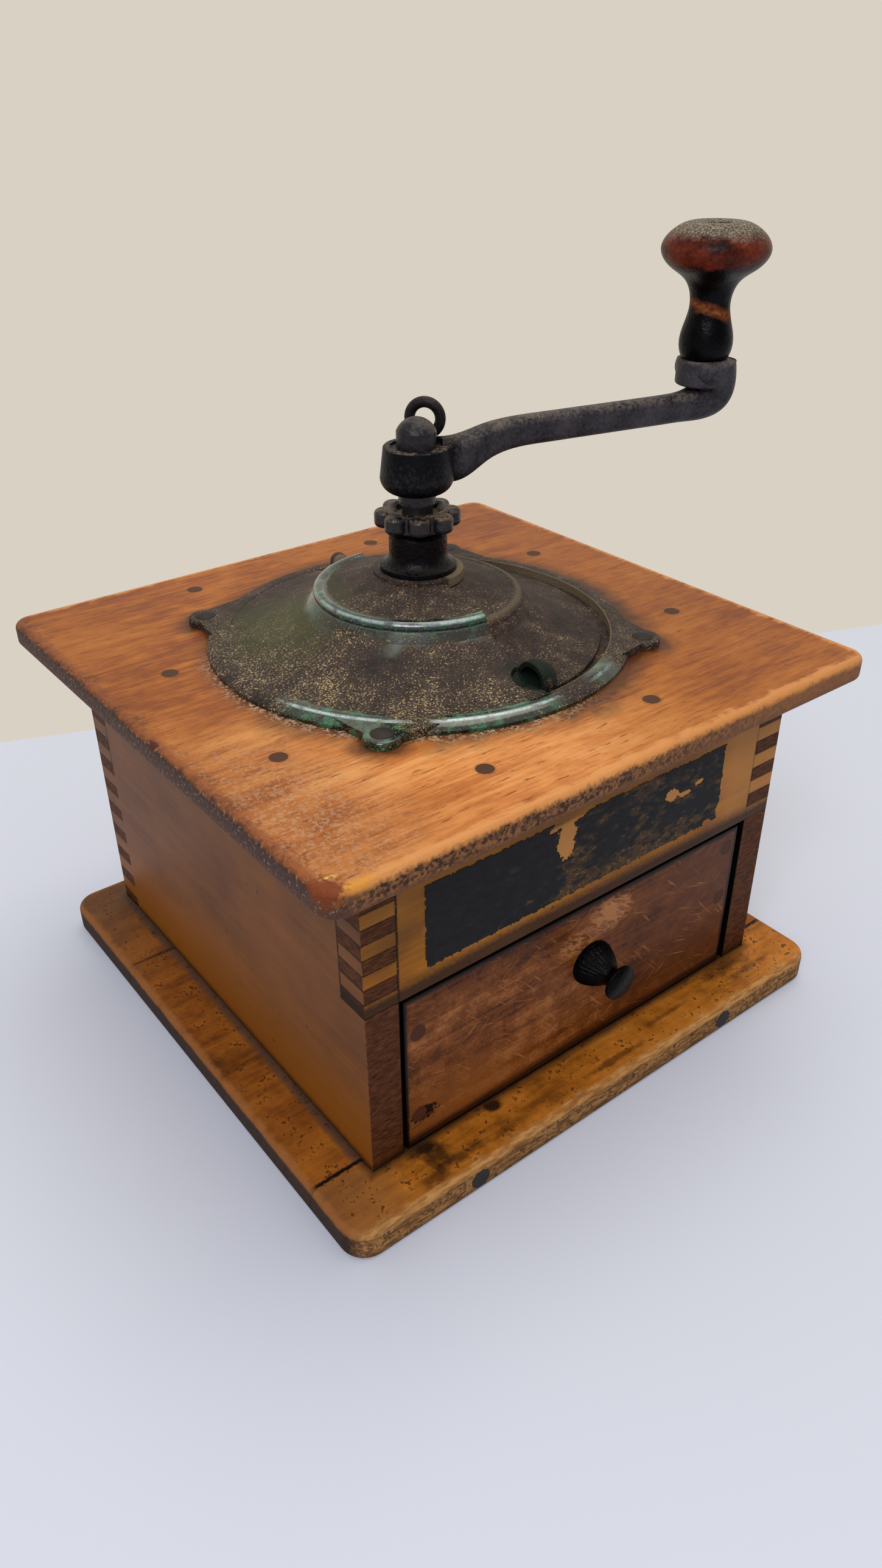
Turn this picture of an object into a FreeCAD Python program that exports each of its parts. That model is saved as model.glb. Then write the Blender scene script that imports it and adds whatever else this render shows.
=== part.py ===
import FreeCAD, Part
import math
import os

from FreeCAD import Vector

# Hand crank box coffee mill. Millimetres, +Z up, front (drawer) towards -Y.
# The origin is the centre of the base board's underside, and the mill's spindle runs up the Z axis.

# Box of four panels with finger joints
box_width = 140.0
box_depth = 143.0
panel_thickness = 9.5
finger_width = 4.24
box_fingers = 22
rail_fingers = 10

# Base board, made up of a wide board and a narrow front strip
base_width = 170.4
base_depth = 167.0
base_forward = 2.9
base_thickness = 9.0
strip_width = 19.9
base_corner_radius = 7.0
base_edge_radius = 2.0
base_foot_radius = 1.2

# Top board
top_width = 171.0
top_depth = 165.3
top_forward = 2.4
top_thickness = 7.0
top_corner_radius = 5.5
top_edge_radius = 1.8

# Nails and screws in the woodwork
nail_radius = 1.0
nail_head_radius = 2.2
nail_head_height = 0.8
nail_length = 25.0
left_nails_at = (-34.0, 20.0)
right_nails_at = (-33.0, 26.0)
front_nails_at = (-32.0, 21.0)
back_nails_at = (-34.0, 30.0)
strip_nail_head_radius = 2.9
strip_nail_spread = 46.0
strip_nail_shift = 1.6
strip_nail_drop = 5.0
base_screw_radius = 1.8
base_screw_head_radius = 3.6
base_screw_length = 26.0
base_screw_spread = 46.0
base_screw_sink = 0.5

# Drawer
drawer_left_gap = 1.2
drawer_right_gap = 2.6
drawer_head_gap = 1.0
drawer_foot_gap = 0.6
drawer_back_gap = 0.5
drawer_front_thickness = 9.5
drawer_wall = 8.0
drawer_floor_thickness = 4.0
drawer_floor_rise = 3.0
drawer_groove_depth = 3.0
left_drawer_nails_rise = (10.0, 37.5)
right_drawer_nails_rise = (26.0, 43.5)

# Drawer knob, turned metal
pull_offset = 2.0
pull_rise = 29.2
pull_base_radius = 5.7
pull_neck_radius = 3.6
pull_end_radius = 4.7
pull_length = 11.5
pull_rim_height = 2.0
pull_screw_radius = 1.6
pull_screw_head_radius = 3.4
pull_screw_head_height = 1.8
pull_screw_bite = 6.0

# Domed iron cover: a rim ring, the fixed left half and a flat ring round the neck
dome_radius = 57.5
rim_width = 5.6
rim_height = 2.5
rim_crest_width = 3.8
rim_crest_rise = 0.15
rim_shoulder = 0.9
dome_wall = 1.3
collar_radius = 12.0
collar_height = 19.2
collar_step = 1.1
plateau_radius = 25.2
plateau_height = 14.6
lip_reach = 3.0
lip_drop = 1.9
lip_round = 0.8
bead_radius = 1.75
bead_rise = 0.65
bead_stand = 0.15
step_width = 2.0
step_drop = 2.3
cone_sag = 1.2
lug_radius = 4.6
lug_offset = 3.1
lug_spread = 13.0
lug_thickness = 2.2
lug_edge_radius = 0.8
lug_count = 4
dome_screw_radius = 1.5
dome_screw_head_radius = 2.9
dome_screw_head_height = 0.8
dome_screw_length = 8.4

# Turning half of the cover, which passes under the fixed half
door_gap = 0.4
door_edge_gap = 2.6
door_wall = 1.0
door_lap_angle = 8.0
scoop_radius = 5.4
scoop_wall = 1.2
scoop_inset = 6.6
scoop_sink = 0.6
scoop_angle = 2.5
notch_radius = 4.6
stop_angle = 81.0
stop_radius = 2.6
stop_height = 5.8
stop_inset = 1.3

# Hopper hung in the top board, with the burr ring and the bridge below it
hopper_radius = 45.5
hopper_wall = 2.4
hopper_depth = 27.0
hopper_lip_cover = 1.6
hopper_lip_thickness = 2.0
hopper_foot_radius = 29.0
hopper_foot_thickness = 3.0
hopper_throat_gap = 1.5
hopper_bulge_share = 0.93
hopper_bulge_wall = 3.8
hopper_bulge_rise = 0.7
ring_radius = 24.0
ring_height = 18.0
ring_flange_thickness = 3.0
ring_bore_top = 15.8
ring_bore_bottom = 18.3
ring_teeth = 18
ring_tooth_depth = 1.5
ring_screw_radius = 1.5
ring_screw_head_radius = 2.6
ring_screw_head_height = 1.6
ring_screw_count = 3
bridge_thickness = 3.5
bridge_width = 11.0
bridge_hub_radius = 8.0
bridge_screw_radius = 1.2
bridge_screw_head_radius = 1.9
bridge_screw_head_height = 1.2
bridge_screw_bite = 6.0

# Inner burr on the spindle
burr_rise = 1.3
burr_height = 16.0
burr_bottom_radius = 17.4
burr_top_radius = 9.0
burr_teeth = 12
burr_tooth_depth = 2.2
burr_tooth_skew = 24.0
burr_pin_radius = 1.2
burr_pin_length = 22.2
burr_pin_rise = 9.9
tooth_root_share = 0.6
tooth_width_share = 0.8

# Spindle and neck
spindle_radius = 4.0
running_gap = 0.05
bearing_gap = 0.3
square_size = 5.6
thread_radius = 2.4
neck_radius = 7.7
neck_foot_radius = 10.2
neck_foot_height = 1.3
neck_flare_height = 3.4
neck_flare_share = 0.35
neck_edge = 0.6
neck_height = 9.9
neck_stem_radius = 6.2
bush_nut_flats = 17.0
bush_nut_height = 3.6
bush_nut_spigot_radius = 7.3

# Lobed adjusting nut and the washer above it
nut_height = 6.1
nut_foot_radius = 6.6
nut_foot_height = 1.2
nut_core_radius = 8.5
nut_lobe_radius = 2.9
nut_lobe_centre = 8.4
nut_lobe_height = 4.6
nut_lobe_round = 1.3
nut_lobes = 8
nut_rim_radius = 8.1
nut_bowl_radius = 7.1
nut_bowl_floor_radius = 5.9
nut_bowl_depth = 1.5
washer_radius = 4.9
washer_thickness = 2.6
lift_room = 1.1

# Crank
crank_length = 88.0
crank_angle = -11.0
hub_radius = 9.5
hub_height = 11.8
hub_foot_radius = 5.4
hub_foot_height = 3.8
hub_foot_round = 1.2
hub_top_radius = 8.5
hub_rim_width = 1.8
hub_rim_height = 0.5
hub_edge = 0.3
arm_rise = 11.8
arm_height = 7.6
arm_width = 5.8
arm_root_width = 8.4
arm_root_drop = 6.4
arm_top_dip = 2.9
arm_flare_length = 7.2
arm_start_share = 0.6
arm_steps = 11
arm_step_power = 1.5
arm_bend_share = 0.94
arm_bend_rise = 0.2
arm_bend_tilt = 9.0
arm_elbow_rise = 2.4
arm_elbow_tilt = 52.0
arm_elbow_width = 12.0
arm_end_width = 15.6
arm_end_drop = 0.3
arm_corner_share = 0.38
boss_radius = 7.3
boss_height = 6.8
boss_rise = 5.7
boss_edge_radius = 0.8
acorn_radius = 5.1
acorn_height = 7.5
acorn_wall_height = 4.1

# Ring-headed screw at the back of the crank hub
eye_angle = 40.0
eye_reach = 10.0
eye_lug_radius = 3.0
eye_stem_radius = 1.2
eye_ring_radius = 4.05
eye_wire_radius = 1.4
eye_sink = 1.2

# Wooden crank knob on its pin
knob_height = 33.0
knob_foot_radius = 6.3
knob_bulge_radius = 7.0
knob_waist_radius = 5.4
knob_flare_radius = 7.4
knob_under_radius = 12.1
knob_head_radius = 14.3
knob_crown_radius = 11.3
knob_bulge_rise = 6.3
knob_waist_rise = 13.1
knob_flare_rise = 19.6
knob_under_rise = 23.1
knob_head_rise = 26.8
knob_crown_drop = 1.3
knob_pin_radius = 2.2
knob_pin_head_radius = 3.2
knob_pin_head_height = 1.6
knob_recess_radius = 3.7
knob_recess_depth = 3.4
knob_end_gap = 0.3

# Heights and places worked out from the sizes above
box_height = box_fingers * finger_width
base_front = -base_depth / 2 - base_forward
board_bottom = base_thickness + box_height
board_top = board_bottom + top_thickness
rail_bottom = board_bottom - rail_fingers * finger_width
front_face = -box_depth / 2
panel_line = panel_thickness / 2
rim_inner = dome_radius - rim_width
lip_radius = plateau_radius + lip_reach
step_radius = lip_radius + step_width
step_height = plateau_height - lip_drop - step_drop
door_radius = rim_inner - door_edge_gap
door_drop = dome_wall + door_gap
hopper_lip_radius = rim_inner + hopper_lip_cover
scoop_reach = rim_inner - scoop_inset
collar_top = board_top + collar_height
neck_top = collar_top + neck_height
nut_bottom = neck_top + bearing_gap
nut_top = nut_bottom + nut_height
washer_bottom = nut_top + lift_room
hub_bottom = washer_bottom + washer_thickness + bearing_gap
hub_top = hub_bottom + hub_height
acorn_seat = hub_top - hub_rim_height
ring_top = board_top - hopper_depth
ring_bottom = ring_top - ring_height
bridge_bottom = ring_bottom - bridge_thickness
burr_bottom = ring_bottom + burr_rise
arm_line = hub_bottom + arm_rise
boss_bottom = arm_line + boss_rise
boss_top = boss_bottom + boss_height
knob_bottom = boss_top + knob_end_gap

UP = Vector(0, 0, 1)
ORIGIN = Vector(0, 0, 0)


def slab(x0, x1, y0, y1, z0, z1):
    return Part.makeBox(x1 - x0, y1 - y0, z1 - z0, Vector(x0, y0, z0))


def post(radius, z0, z1, x=0.0, y=0.0):
    return Part.makeCylinder(radius, z1 - z0, Vector(x, y, z0))


def around(reach, degrees, z=0.0):
    turn = math.radians(degrees)
    return Vector(reach * math.cos(turn), reach * math.sin(turn), z)


def turned_about_z(shape, degrees):
    copy = shape.copy()
    copy.rotate(ORIGIN, UP, degrees)
    return copy


def moved(shape, offset):
    copy = shape.copy()
    copy.translate(offset)
    return copy


def fused(shapes):
    whole = shapes[0]
    if len(shapes) > 1:
        whole = whole.fuse(shapes[1:])
    return whole.removeSplitter()


def cut_all(shape, tools):
    for tool in tools:
        shape = shape.cut(tool)
    return shape


def outline(start, steps):
    """Closed face in the XZ plane; a step is a point, or a pair of via point and end point of an arc."""
    edges = []
    here = Vector(start[0], 0, start[1])
    for step in list(steps) + [start]:
        if isinstance(step[0], tuple):
            via, end = [Vector(p[0], 0, p[1]) for p in step]
            edges.append(Part.Arc(here, via, end).toShape())
        else:
            end = Vector(step[0], 0, step[1])
            if (end - here).Length < 1e-7:
                continue
            edges.append(Part.LineSegment(here, end).toShape())
        here = end
    return Part.Face(Part.Wire(edges))


def turned(start, steps, first=0.0, sweep=360.0):
    """Solid of revolution about Z from an outline, from angle first over sweep degrees."""
    face = turned_about_z(outline(start, steps), first)
    return face.revolve(ORIGIN, UP, sweep)


def cap_arc(radius, base, height):
    """Step of an outline that closes a round end with a spherical cap."""
    sphere = (radius * radius + height * height) / (2 * height)
    half_turn = math.asin(radius / sphere) / 2
    if height > radius:
        half_turn = (math.pi - math.asin(radius / sphere)) / 2
    middle = base + height - sphere
    return ((sphere * math.sin(half_turn), middle + sphere * math.cos(half_turn)), (0, base + height))


def edges_at(shape, height):
    level = 1e-4
    flat = [e for e in shape.Edges if e.BoundBox.ZLength < level]
    return [e for e in flat if abs(e.BoundBox.ZMin - height) < level]


def rounded_board(width, depth, z0, thickness, corner, upper, lower):
    board = slab(-width / 2, width / 2, -depth / 2, depth / 2, z0, z0 + thickness)
    upright = [e for e in board.Edges if e.BoundBox.ZLength > thickness / 2]
    board = board.makeFillet(corner, upright)
    upper = min(upper, 0.9 * corner, 0.45 * thickness)
    lower = min(lower, 0.9 * corner, 0.45 * thickness)
    board = board.makeFillet(upper, edges_at(board, z0 + thickness))
    return board.makeFillet(lower, edges_at(board, z0))


def nail(head_radius=nail_head_radius):
    """Cut nail with its head at the origin and its shank down -Z."""
    shank = post(nail_radius, -nail_length, -nail_head_height)
    head = post(head_radius, -nail_head_height, 0)
    return fused([shank, head])


def aimed(shape, direction, place):
    """Turn a piece that points up +Z along a direction and put it at a place."""
    copy = shape.copy()
    copy.Placement = FreeCAD.Placement(place, FreeCAD.Rotation(UP, direction))
    return copy


# Woodwork

def finger_comb(x0, x1, y0, y1, z0, count, first):
    """Every second finger of a joint, from finger number first."""
    fingers = []
    for index in range(first, count, 2):
        low = z0 + index * finger_width
        fingers.append(slab(x0, x1, y0, y1, low, low + finger_width))
    return Part.makeCompound(fingers)


def corner_combs(sides, y0, y1, z0, count, first):
    combs = []
    for side in sides:
        x_outer = side * box_width / 2
        x_inner = x_outer - side * panel_thickness
        x0, x1 = sorted((x_outer, x_inner))
        combs.append(finger_comb(x0, x1, y0, y1, z0, count, first))
    return combs


front_lap = (front_face, front_face + panel_thickness)
back_lap = (-front_face - panel_thickness, -front_face)


def side_panel(side):
    x_outer = side * box_width / 2
    x_inner = x_outer - side * panel_thickness
    x0, x1 = sorted((x_outer, x_inner))
    panel = slab(x0, x1, front_face, -front_face, base_thickness, board_bottom)
    notches = corner_combs([side], *front_lap, rail_bottom, rail_fingers, 0)
    notches += corner_combs([side], *back_lap, base_thickness, box_fingers, 0)
    return cut_all(panel, notches)


def front_rail():
    rail = slab(-box_width / 2, box_width / 2, *front_lap, rail_bottom, board_bottom)
    return cut_all(rail, corner_combs([-1, 1], *front_lap, rail_bottom, rail_fingers, 1))


def back_panel():
    panel = slab(-box_width / 2, box_width / 2, *back_lap, base_thickness, board_bottom)
    return cut_all(panel, corner_combs([-1, 1], *back_lap, base_thickness, box_fingers, 1))


def top_nail_places():
    x_line = box_width / 2 - panel_line
    y_line = box_depth / 2 - panel_line
    places = [Vector(-x_line, along, board_top) for along in left_nails_at]
    places += [Vector(x_line, along, board_top) for along in right_nails_at]
    places += [Vector(along, -y_line, board_top) for along in front_nails_at]
    places += [Vector(along, y_line, board_top) for along in back_nails_at]
    return places


def top_nails():
    return [moved(nail(), place) for place in top_nail_places()]


def base_screw():
    """Countersunk wood screw driven up from the underside."""
    cone = base_screw_head_radius - base_screw_radius
    start = (0, base_screw_sink)
    steps = [
        (base_screw_head_radius, base_screw_sink),
        (base_screw_radius, base_screw_sink + cone),
        (base_screw_radius, base_screw_length - base_screw_radius),
        (0, base_screw_length),
    ]
    return turned(start, steps)


def base_screws():
    x_line = box_width / 2 - panel_line
    return [
        moved(base_screw(), Vector(side * x_line, end * base_screw_spread, 0))
        for side in (-1, 1)
        for end in (-1, 1)
    ]


def screw_wells():
    x_line = box_width / 2 - panel_line
    return [
        post(base_screw_head_radius, 0, base_screw_sink, side * x_line, end * base_screw_spread)
        for side in (-1, 1)
        for end in (-1, 1)
    ]


def whole_base():
    board = rounded_board(
        base_width, base_depth, 0, base_thickness, base_corner_radius, base_edge_radius, base_foot_radius
    )
    return moved(board, Vector(0, -base_forward, 0))


def strip_space():
    return slab(-base_width, base_width, -base_depth, base_front + strip_width, -1, base_thickness + 1)


def strip_nails():
    height = base_thickness - strip_nail_drop
    driven = Vector(0, -1, 0)
    return [
        aimed(
            nail(strip_nail_head_radius),
            driven,
            Vector(side * strip_nail_spread - strip_nail_shift, base_front, height),
        )
        for side in (-1, 1)
    ]


# Drawer

drawer_left = -box_width / 2 + panel_thickness + drawer_left_gap
drawer_right = box_width / 2 - panel_thickness - drawer_right_gap
drawer_bottom = base_thickness + drawer_foot_gap
drawer_top = rail_bottom - drawer_head_gap
drawer_back = -front_face - panel_thickness - drawer_back_gap
drawer_inner_front = front_face + drawer_front_thickness
drawer_floor_bottom = drawer_bottom + drawer_floor_rise


def drawer_floor():
    inset = drawer_wall - drawer_groove_depth
    return slab(
        drawer_left + inset,
        drawer_right - inset,
        drawer_inner_front - drawer_groove_depth,
        drawer_back - drawer_wall + drawer_groove_depth,
        drawer_floor_bottom,
        drawer_floor_bottom + drawer_floor_thickness,
    )


def drawer_nails():
    driven = Vector(0, -1, 0)
    left_line = drawer_left + drawer_wall / 2
    right_line = drawer_right - drawer_wall / 2
    places = [Vector(left_line, front_face, drawer_bottom + rise) for rise in left_drawer_nails_rise]
    places += [Vector(right_line, front_face, drawer_bottom + rise) for rise in right_drawer_nails_rise]
    return [aimed(nail(), driven, place) for place in places]


def pull_place():
    return Vector(pull_offset, front_face, drawer_bottom + pull_rise)


def drawer_pull():
    """Turned knob: wide base, hollowed neck and a flat round end, with a blind hole for its screw."""
    waist = pull_length / 2
    start = (0, 0)
    steps = [
        (pull_base_radius, 0),
        ((pull_neck_radius, waist), (pull_end_radius, pull_length - pull_rim_height)),
        (pull_end_radius, pull_length - pull_rim_height / 2),
        (pull_end_radius - pull_rim_height / 4, pull_length),
        (0, pull_length),
    ]
    knob = turned(start, steps).cut(post(pull_screw_radius, 0, pull_screw_bite))
    return aimed(knob, Vector(0, -1, 0), pull_place())


def pull_screw():
    head_face = -drawer_front_thickness
    head = post(pull_screw_head_radius, head_face - pull_screw_head_height, head_face)
    shank = post(pull_screw_radius, head_face, pull_screw_bite)
    return aimed(fused([head, shank]), Vector(0, -1, 0), pull_place())


def drawer_pieces():
    floor = drawer_floor()
    nails = drawer_nails()
    screw = pull_screw()
    front = slab(drawer_left, drawer_right, front_face, drawer_inner_front, drawer_bottom, drawer_top)
    pieces = {"drawer_front": cut_all(front, [floor, screw] + nails)}
    walls = {
        "drawer_left_side": (drawer_left, drawer_left + drawer_wall),
        "drawer_right_side": (drawer_right - drawer_wall, drawer_right),
    }
    for name, (x0, x1) in walls.items():
        wall = slab(x0, x1, drawer_inner_front, drawer_back, drawer_bottom, drawer_top)
        pieces[name] = cut_all(wall, [floor] + nails)
    inner_left = drawer_left + drawer_wall
    inner_right = drawer_right - drawer_wall
    back = slab(inner_left, inner_right, drawer_back - drawer_wall, drawer_back, drawer_bottom, drawer_top)
    pieces["drawer_back"] = back.cut(floor)
    pieces["drawer_floor"] = floor
    pieces["drawer_nails"] = Part.makeCompound(nails)
    pieces["drawer_knob"] = drawer_pull()
    pieces["drawer_knob_screw"] = screw
    return pieces


# Iron cover

def shell_profile(drop, wall, r_inner, r_outer):
    """Start and steps of the cover's section between two radii, a drop below its outer surface."""
    top = board_top - drop
    plateau = (plateau_radius, top + plateau_height)
    nose = (lip_radius - lip_round, top + plateau_height - lip_round / 2)
    lip = (lip_radius, top + plateau_height - lip_drop)
    step = (step_radius, top + step_height)
    foot = (r_outer, top + cone_height_at(r_outer))
    hollow = ((step_radius + r_outer) / 2, (step[1] + foot[1]) / 2 - cone_sag)
    neck = (collar_radius, top + collar_height - collar_step)
    upper = [neck, plateau, (nose, lip), step, (hollow, foot)]
    lower = [
        under(foot, wall),
        (under(hollow, wall), under(step, wall)),
        under(lip, wall),
        (under(nose, wall), under(plateau, wall)),
        under(neck, wall),
        (r_inner, neck[1] - wall),
    ]
    return (r_inner, neck[1]), upper + lower


def under(point, wall):
    return (point[0], point[1] - wall)


def cone_height_at(radius):
    share = (radius - step_radius) / (rim_inner - step_radius)
    return step_height + share * (rim_height - step_height)


def rim_ring():
    """Flat ring with a rounded back that carries both halves."""
    crest = (dome_radius - rim_crest_width, board_top + rim_height + rim_crest_rise)
    start = (rim_inner, board_top)
    steps = [
        (dome_radius, board_top),
        (dome_radius, board_top + rim_shoulder),
        (crest, (rim_inner, board_top + rim_height)),
    ]
    return turned(start, steps)


def plateau_ring_bead():
    """Rounded bead on the fixed half, along the lip of its plateau."""
    line = lip_radius - bead_radius + bead_stand
    level = board_top + plateau_height + bead_rise - bead_radius
    ring = Part.makeTorus(line, bead_radius, Vector(0, 0, level))
    above = turned(*shell_profile(dome_wall / 2, -dome_radius, collar_radius, rim_inner), 90.0, 180.0)
    return ring.common(above)


lug_reach = dome_radius + lug_offset


def lug(degrees):
    """Screw ear: a round end drawn out of the rim by two straight flanks."""
    low = [around(dome_radius - lug_offset / 2, -lug_spread, board_top)]
    low.append(Vector(lug_reach, -lug_radius, board_top))
    tip = Vector(lug_reach + lug_radius, 0, board_top)
    high = [Vector(p.x, -p.y, p.z) for p in reversed(low)]
    edges = [
        Part.LineSegment(low[0], low[1]).toShape(),
        Part.Arc(low[1], tip, high[0]).toShape(),
        Part.LineSegment(high[0], high[1]).toShape(),
        Part.LineSegment(high[1], low[0]).toShape(),
    ]
    ear = Part.Face(Part.Wire(edges)).extrude(UP * lug_thickness)
    rim = [e for e in edges_at(ear, board_top + lug_thickness) if e.BoundBox.XMax > lug_reach]
    ear = ear.makeFillet(min(lug_edge_radius, 0.45 * lug_thickness), rim)
    return turned_about_z(ear, degrees)


lug_angles = [45.0 + 360.0 / lug_count * index for index in range(lug_count)]


def dome_screws():
    """Round-headed wood screws through the four lugs."""
    seat = board_top + lug_thickness
    start = (0, seat - dome_screw_length)
    steps = [
        (dome_screw_radius, seat - dome_screw_length + dome_screw_radius),
        (dome_screw_radius, seat),
        (dome_screw_head_radius, seat),
        cap_arc(dome_screw_head_radius, seat, dome_screw_head_height),
    ]
    screw = turned(start, steps)
    return [moved(screw, around(lug_reach, angle)) for angle in lug_angles]


def stop_nub():
    at = around(rim_inner + stop_inset, stop_angle)
    nub = post(stop_radius, board_top, board_top + stop_height - stop_radius, at.x, at.y)
    cap = Part.makeSphere(stop_radius, Vector(at.x, at.y, board_top + stop_height - stop_radius))
    return fused([nub, cap])


def dome_cover():
    bore = neck_stem_radius
    half = turned(*shell_profile(0, dome_wall, collar_radius, rim_inner + door_gap), 90.0, 180.0)
    collar_under = collar_top - collar_step - dome_wall
    collar = post(collar_radius, collar_under, collar_top).cut(post(bore, collar_under, collar_top))
    lugs = [lug(angle) for angle in lug_angles]
    inside = post(rim_inner, board_top, board_top + rim_height)
    outer = fused([rim_ring(), stop_nub()] + lugs).cut(inside)
    notch = post(notch_radius, board_top + rim_height, collar_top, 0, -scoop_reach)
    half = fused([half, plateau_ring_bead()]).cut(notch)
    return cut_all(fused([outer, half, collar]), dome_screws())


def scoop_shape(radius):
    surface = board_top - door_drop + cone_height_at(scoop_reach) - scoop_sink
    at = around(scoop_reach, -90.0 + scoop_angle, surface)
    return Part.makeSphere(radius, at)


def dome_door():
    """Half shell with a ring round the neck and a thumb scoop by its front edge."""
    inner = bush_nut_spigot_radius + door_gap
    sweep = 180.0 + 2 * door_lap_angle
    start_angle = -90.0 - door_lap_angle
    reach = rim_inner + door_gap
    shell = turned(*shell_profile(door_drop, door_wall, inner, reach), start_angle, sweep)
    shell = shell.common(post(door_radius, board_top - dome_radius, collar_top))
    ring_face = collar_top - collar_step - door_drop
    ring_under = ring_face - door_wall
    hub = post(collar_radius, ring_under, ring_face).cut(post(inner, ring_under, ring_face))
    above = turned(*shell_profile(door_drop, -dome_radius, inner, reach), start_angle, sweep)
    high = board_top + 2 * collar_height
    right_of_seam = slab(door_gap, dome_radius, -dome_radius, dome_radius, board_top, high)
    scoop = scoop_shape(scoop_radius).cut(scoop_shape(scoop_radius - scoop_wall))
    scoop = scoop.common(above).common(right_of_seam)
    return fused([shell, hub, scoop])


# Hopper, burrs and spindle

def hopper():
    top = board_top
    inside = hopper_radius - hopper_wall
    throat = ring_bore_top + hopper_throat_gap
    foot = ring_top
    foot_top = foot + hopper_foot_thickness
    bulge = hopper_radius * hopper_bulge_share
    middle = top - hopper_depth / 2
    inner_bulge = (bulge - hopper_bulge_wall, middle + hopper_bulge_rise)
    start = (inside, top)
    steps = [
        (hopper_lip_radius, top),
        (hopper_lip_radius, top - hopper_lip_thickness),
        (hopper_radius, top - hopper_lip_thickness),
        ((bulge, middle), (hopper_foot_radius, foot_top)),
        (hopper_foot_radius, foot),
        (throat, foot),
        (throat, foot_top),
        (inner_bulge, (inside, top - hopper_lip_thickness)),
    ]
    return cut_all(turned(start, steps), ring_screws())


def ring_screws():
    """Screws up through the burr ring's flange into the hopper's foot."""
    line = (ring_radius + hopper_foot_radius) / 2
    low = ring_top - ring_flange_thickness
    screws = []
    for index in range(ring_screw_count):
        at = around(line, 90.0 + index * 360.0 / ring_screw_count)
        head = post(ring_screw_head_radius, low - ring_screw_head_height, low, at.x, at.y)
        shank = post(ring_screw_radius, low, ring_top + hopper_foot_thickness, at.x, at.y)
        screws.append(fused([head, shank]))
    return screws


def tooth_cutter(depth, length, outward):
    """Triangular bar along Z with its point towards +X (outward) or -X."""
    tip = Vector(depth if outward else -depth, 0, -length / 2)
    root = -tip.x * tooth_root_share
    half = depth * tooth_width_share
    corners = [tip, Vector(root, half, tip.z), Vector(root, -half, tip.z), tip]
    return Part.Face(Part.makePolygon(corners)).extrude(UP * length)


def burr_ring():
    """Outer burr: a flanged ring with a toothed bore that widens downwards."""
    start = (ring_bore_top, ring_top)
    steps = [
        (hopper_foot_radius, ring_top),
        (hopper_foot_radius, ring_top - ring_flange_thickness),
        (ring_radius, ring_top - ring_flange_thickness),
        (ring_radius, ring_bottom),
        (ring_bore_bottom, ring_bottom),
    ]
    ring = turned(start, steps)
    lean = math.degrees(math.atan2(ring_bore_bottom - ring_bore_top, ring_height))
    cutter = tooth_cutter(ring_tooth_depth, 2 * ring_height, True)
    cutter.rotate(ORIGIN, Vector(0, 1, 0), -lean)
    cutter.translate(Vector((ring_bore_top + ring_bore_bottom) / 2, 0, (ring_top + ring_bottom) / 2))
    teeth = [turned_about_z(cutter, index * 360.0 / ring_teeth) for index in range(ring_teeth)]
    return cut_all(ring, teeth + ring_screws() + bridge_screws())


def bridge_screws():
    line = (ring_radius + ring_bore_bottom) / 2 + ring_tooth_depth / 2
    screws = []
    for side in (-1, 1):
        head = post(
            bridge_screw_head_radius, bridge_bottom - bridge_screw_head_height, bridge_bottom, side * line, 0
        )
        shank = post(bridge_screw_radius, bridge_bottom, ring_bottom + bridge_screw_bite, side * line, 0)
        screws.append(fused([head, shank]))
    return screws


def bridge():
    """Bar across the burr ring that carries the spindle's lower end."""
    outer = post(ring_radius, bridge_bottom, ring_bottom)
    reach = ring_radius + bridge_width
    bar = slab(-reach, reach, -bridge_width / 2, bridge_width / 2, bridge_bottom, ring_bottom)
    body = fused([bar.common(outer), post(bridge_hub_radius, bridge_bottom, ring_bottom)])
    body = body.cut(post(spindle_radius + running_gap, bridge_bottom, ring_bottom))
    return cut_all(body, bridge_screws()).removeSplitter()


def burr_pin():
    end = Vector(-burr_pin_length / 2, 0, burr_bottom + burr_pin_rise)
    pin = Part.makeCylinder(burr_pin_radius, burr_pin_length, end, Vector(1, 0, 0))
    return turned_about_z(pin, crank_angle)


def inner_burr():
    """Cone burr with skewed teeth, pinned on the spindle."""
    top = burr_bottom + burr_height
    start = (spindle_radius, burr_bottom)
    steps = [(burr_bottom_radius, burr_bottom), (burr_top_radius, top), (spindle_radius, top)]
    cone = turned(start, steps)
    lean = math.degrees(math.atan2(burr_bottom_radius - burr_top_radius, burr_height))
    cutter = tooth_cutter(burr_tooth_depth, 3 * burr_height, False)
    cutter.rotate(ORIGIN, Vector(1, 0, 0), burr_tooth_skew)
    cutter.rotate(ORIGIN, Vector(0, 1, 0), -lean)
    cutter.translate(Vector((burr_bottom_radius + burr_top_radius) / 2, 0, burr_bottom + burr_height / 2))
    sleeve = post(spindle_radius + burr_tooth_depth, burr_bottom - burr_height, top + burr_height)
    teeth = [turned_about_z(cutter.cut(sleeve), index * 360.0 / burr_teeth) for index in range(burr_teeth)]
    return cut_all(cone, teeth + [burr_pin()])


def square_bar(z0, z1):
    half = square_size / 2
    return turned_about_z(slab(-half, half, -half, half, z0, z1), crank_angle)


def spindle():
    rod = post(spindle_radius, bridge_bottom, hub_bottom)
    thread = post(thread_radius, acorn_seat, acorn_seat + acorn_wall_height)
    return fused([rod, square_bar(hub_bottom, acorn_seat), thread]).cut(burr_pin())


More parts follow.
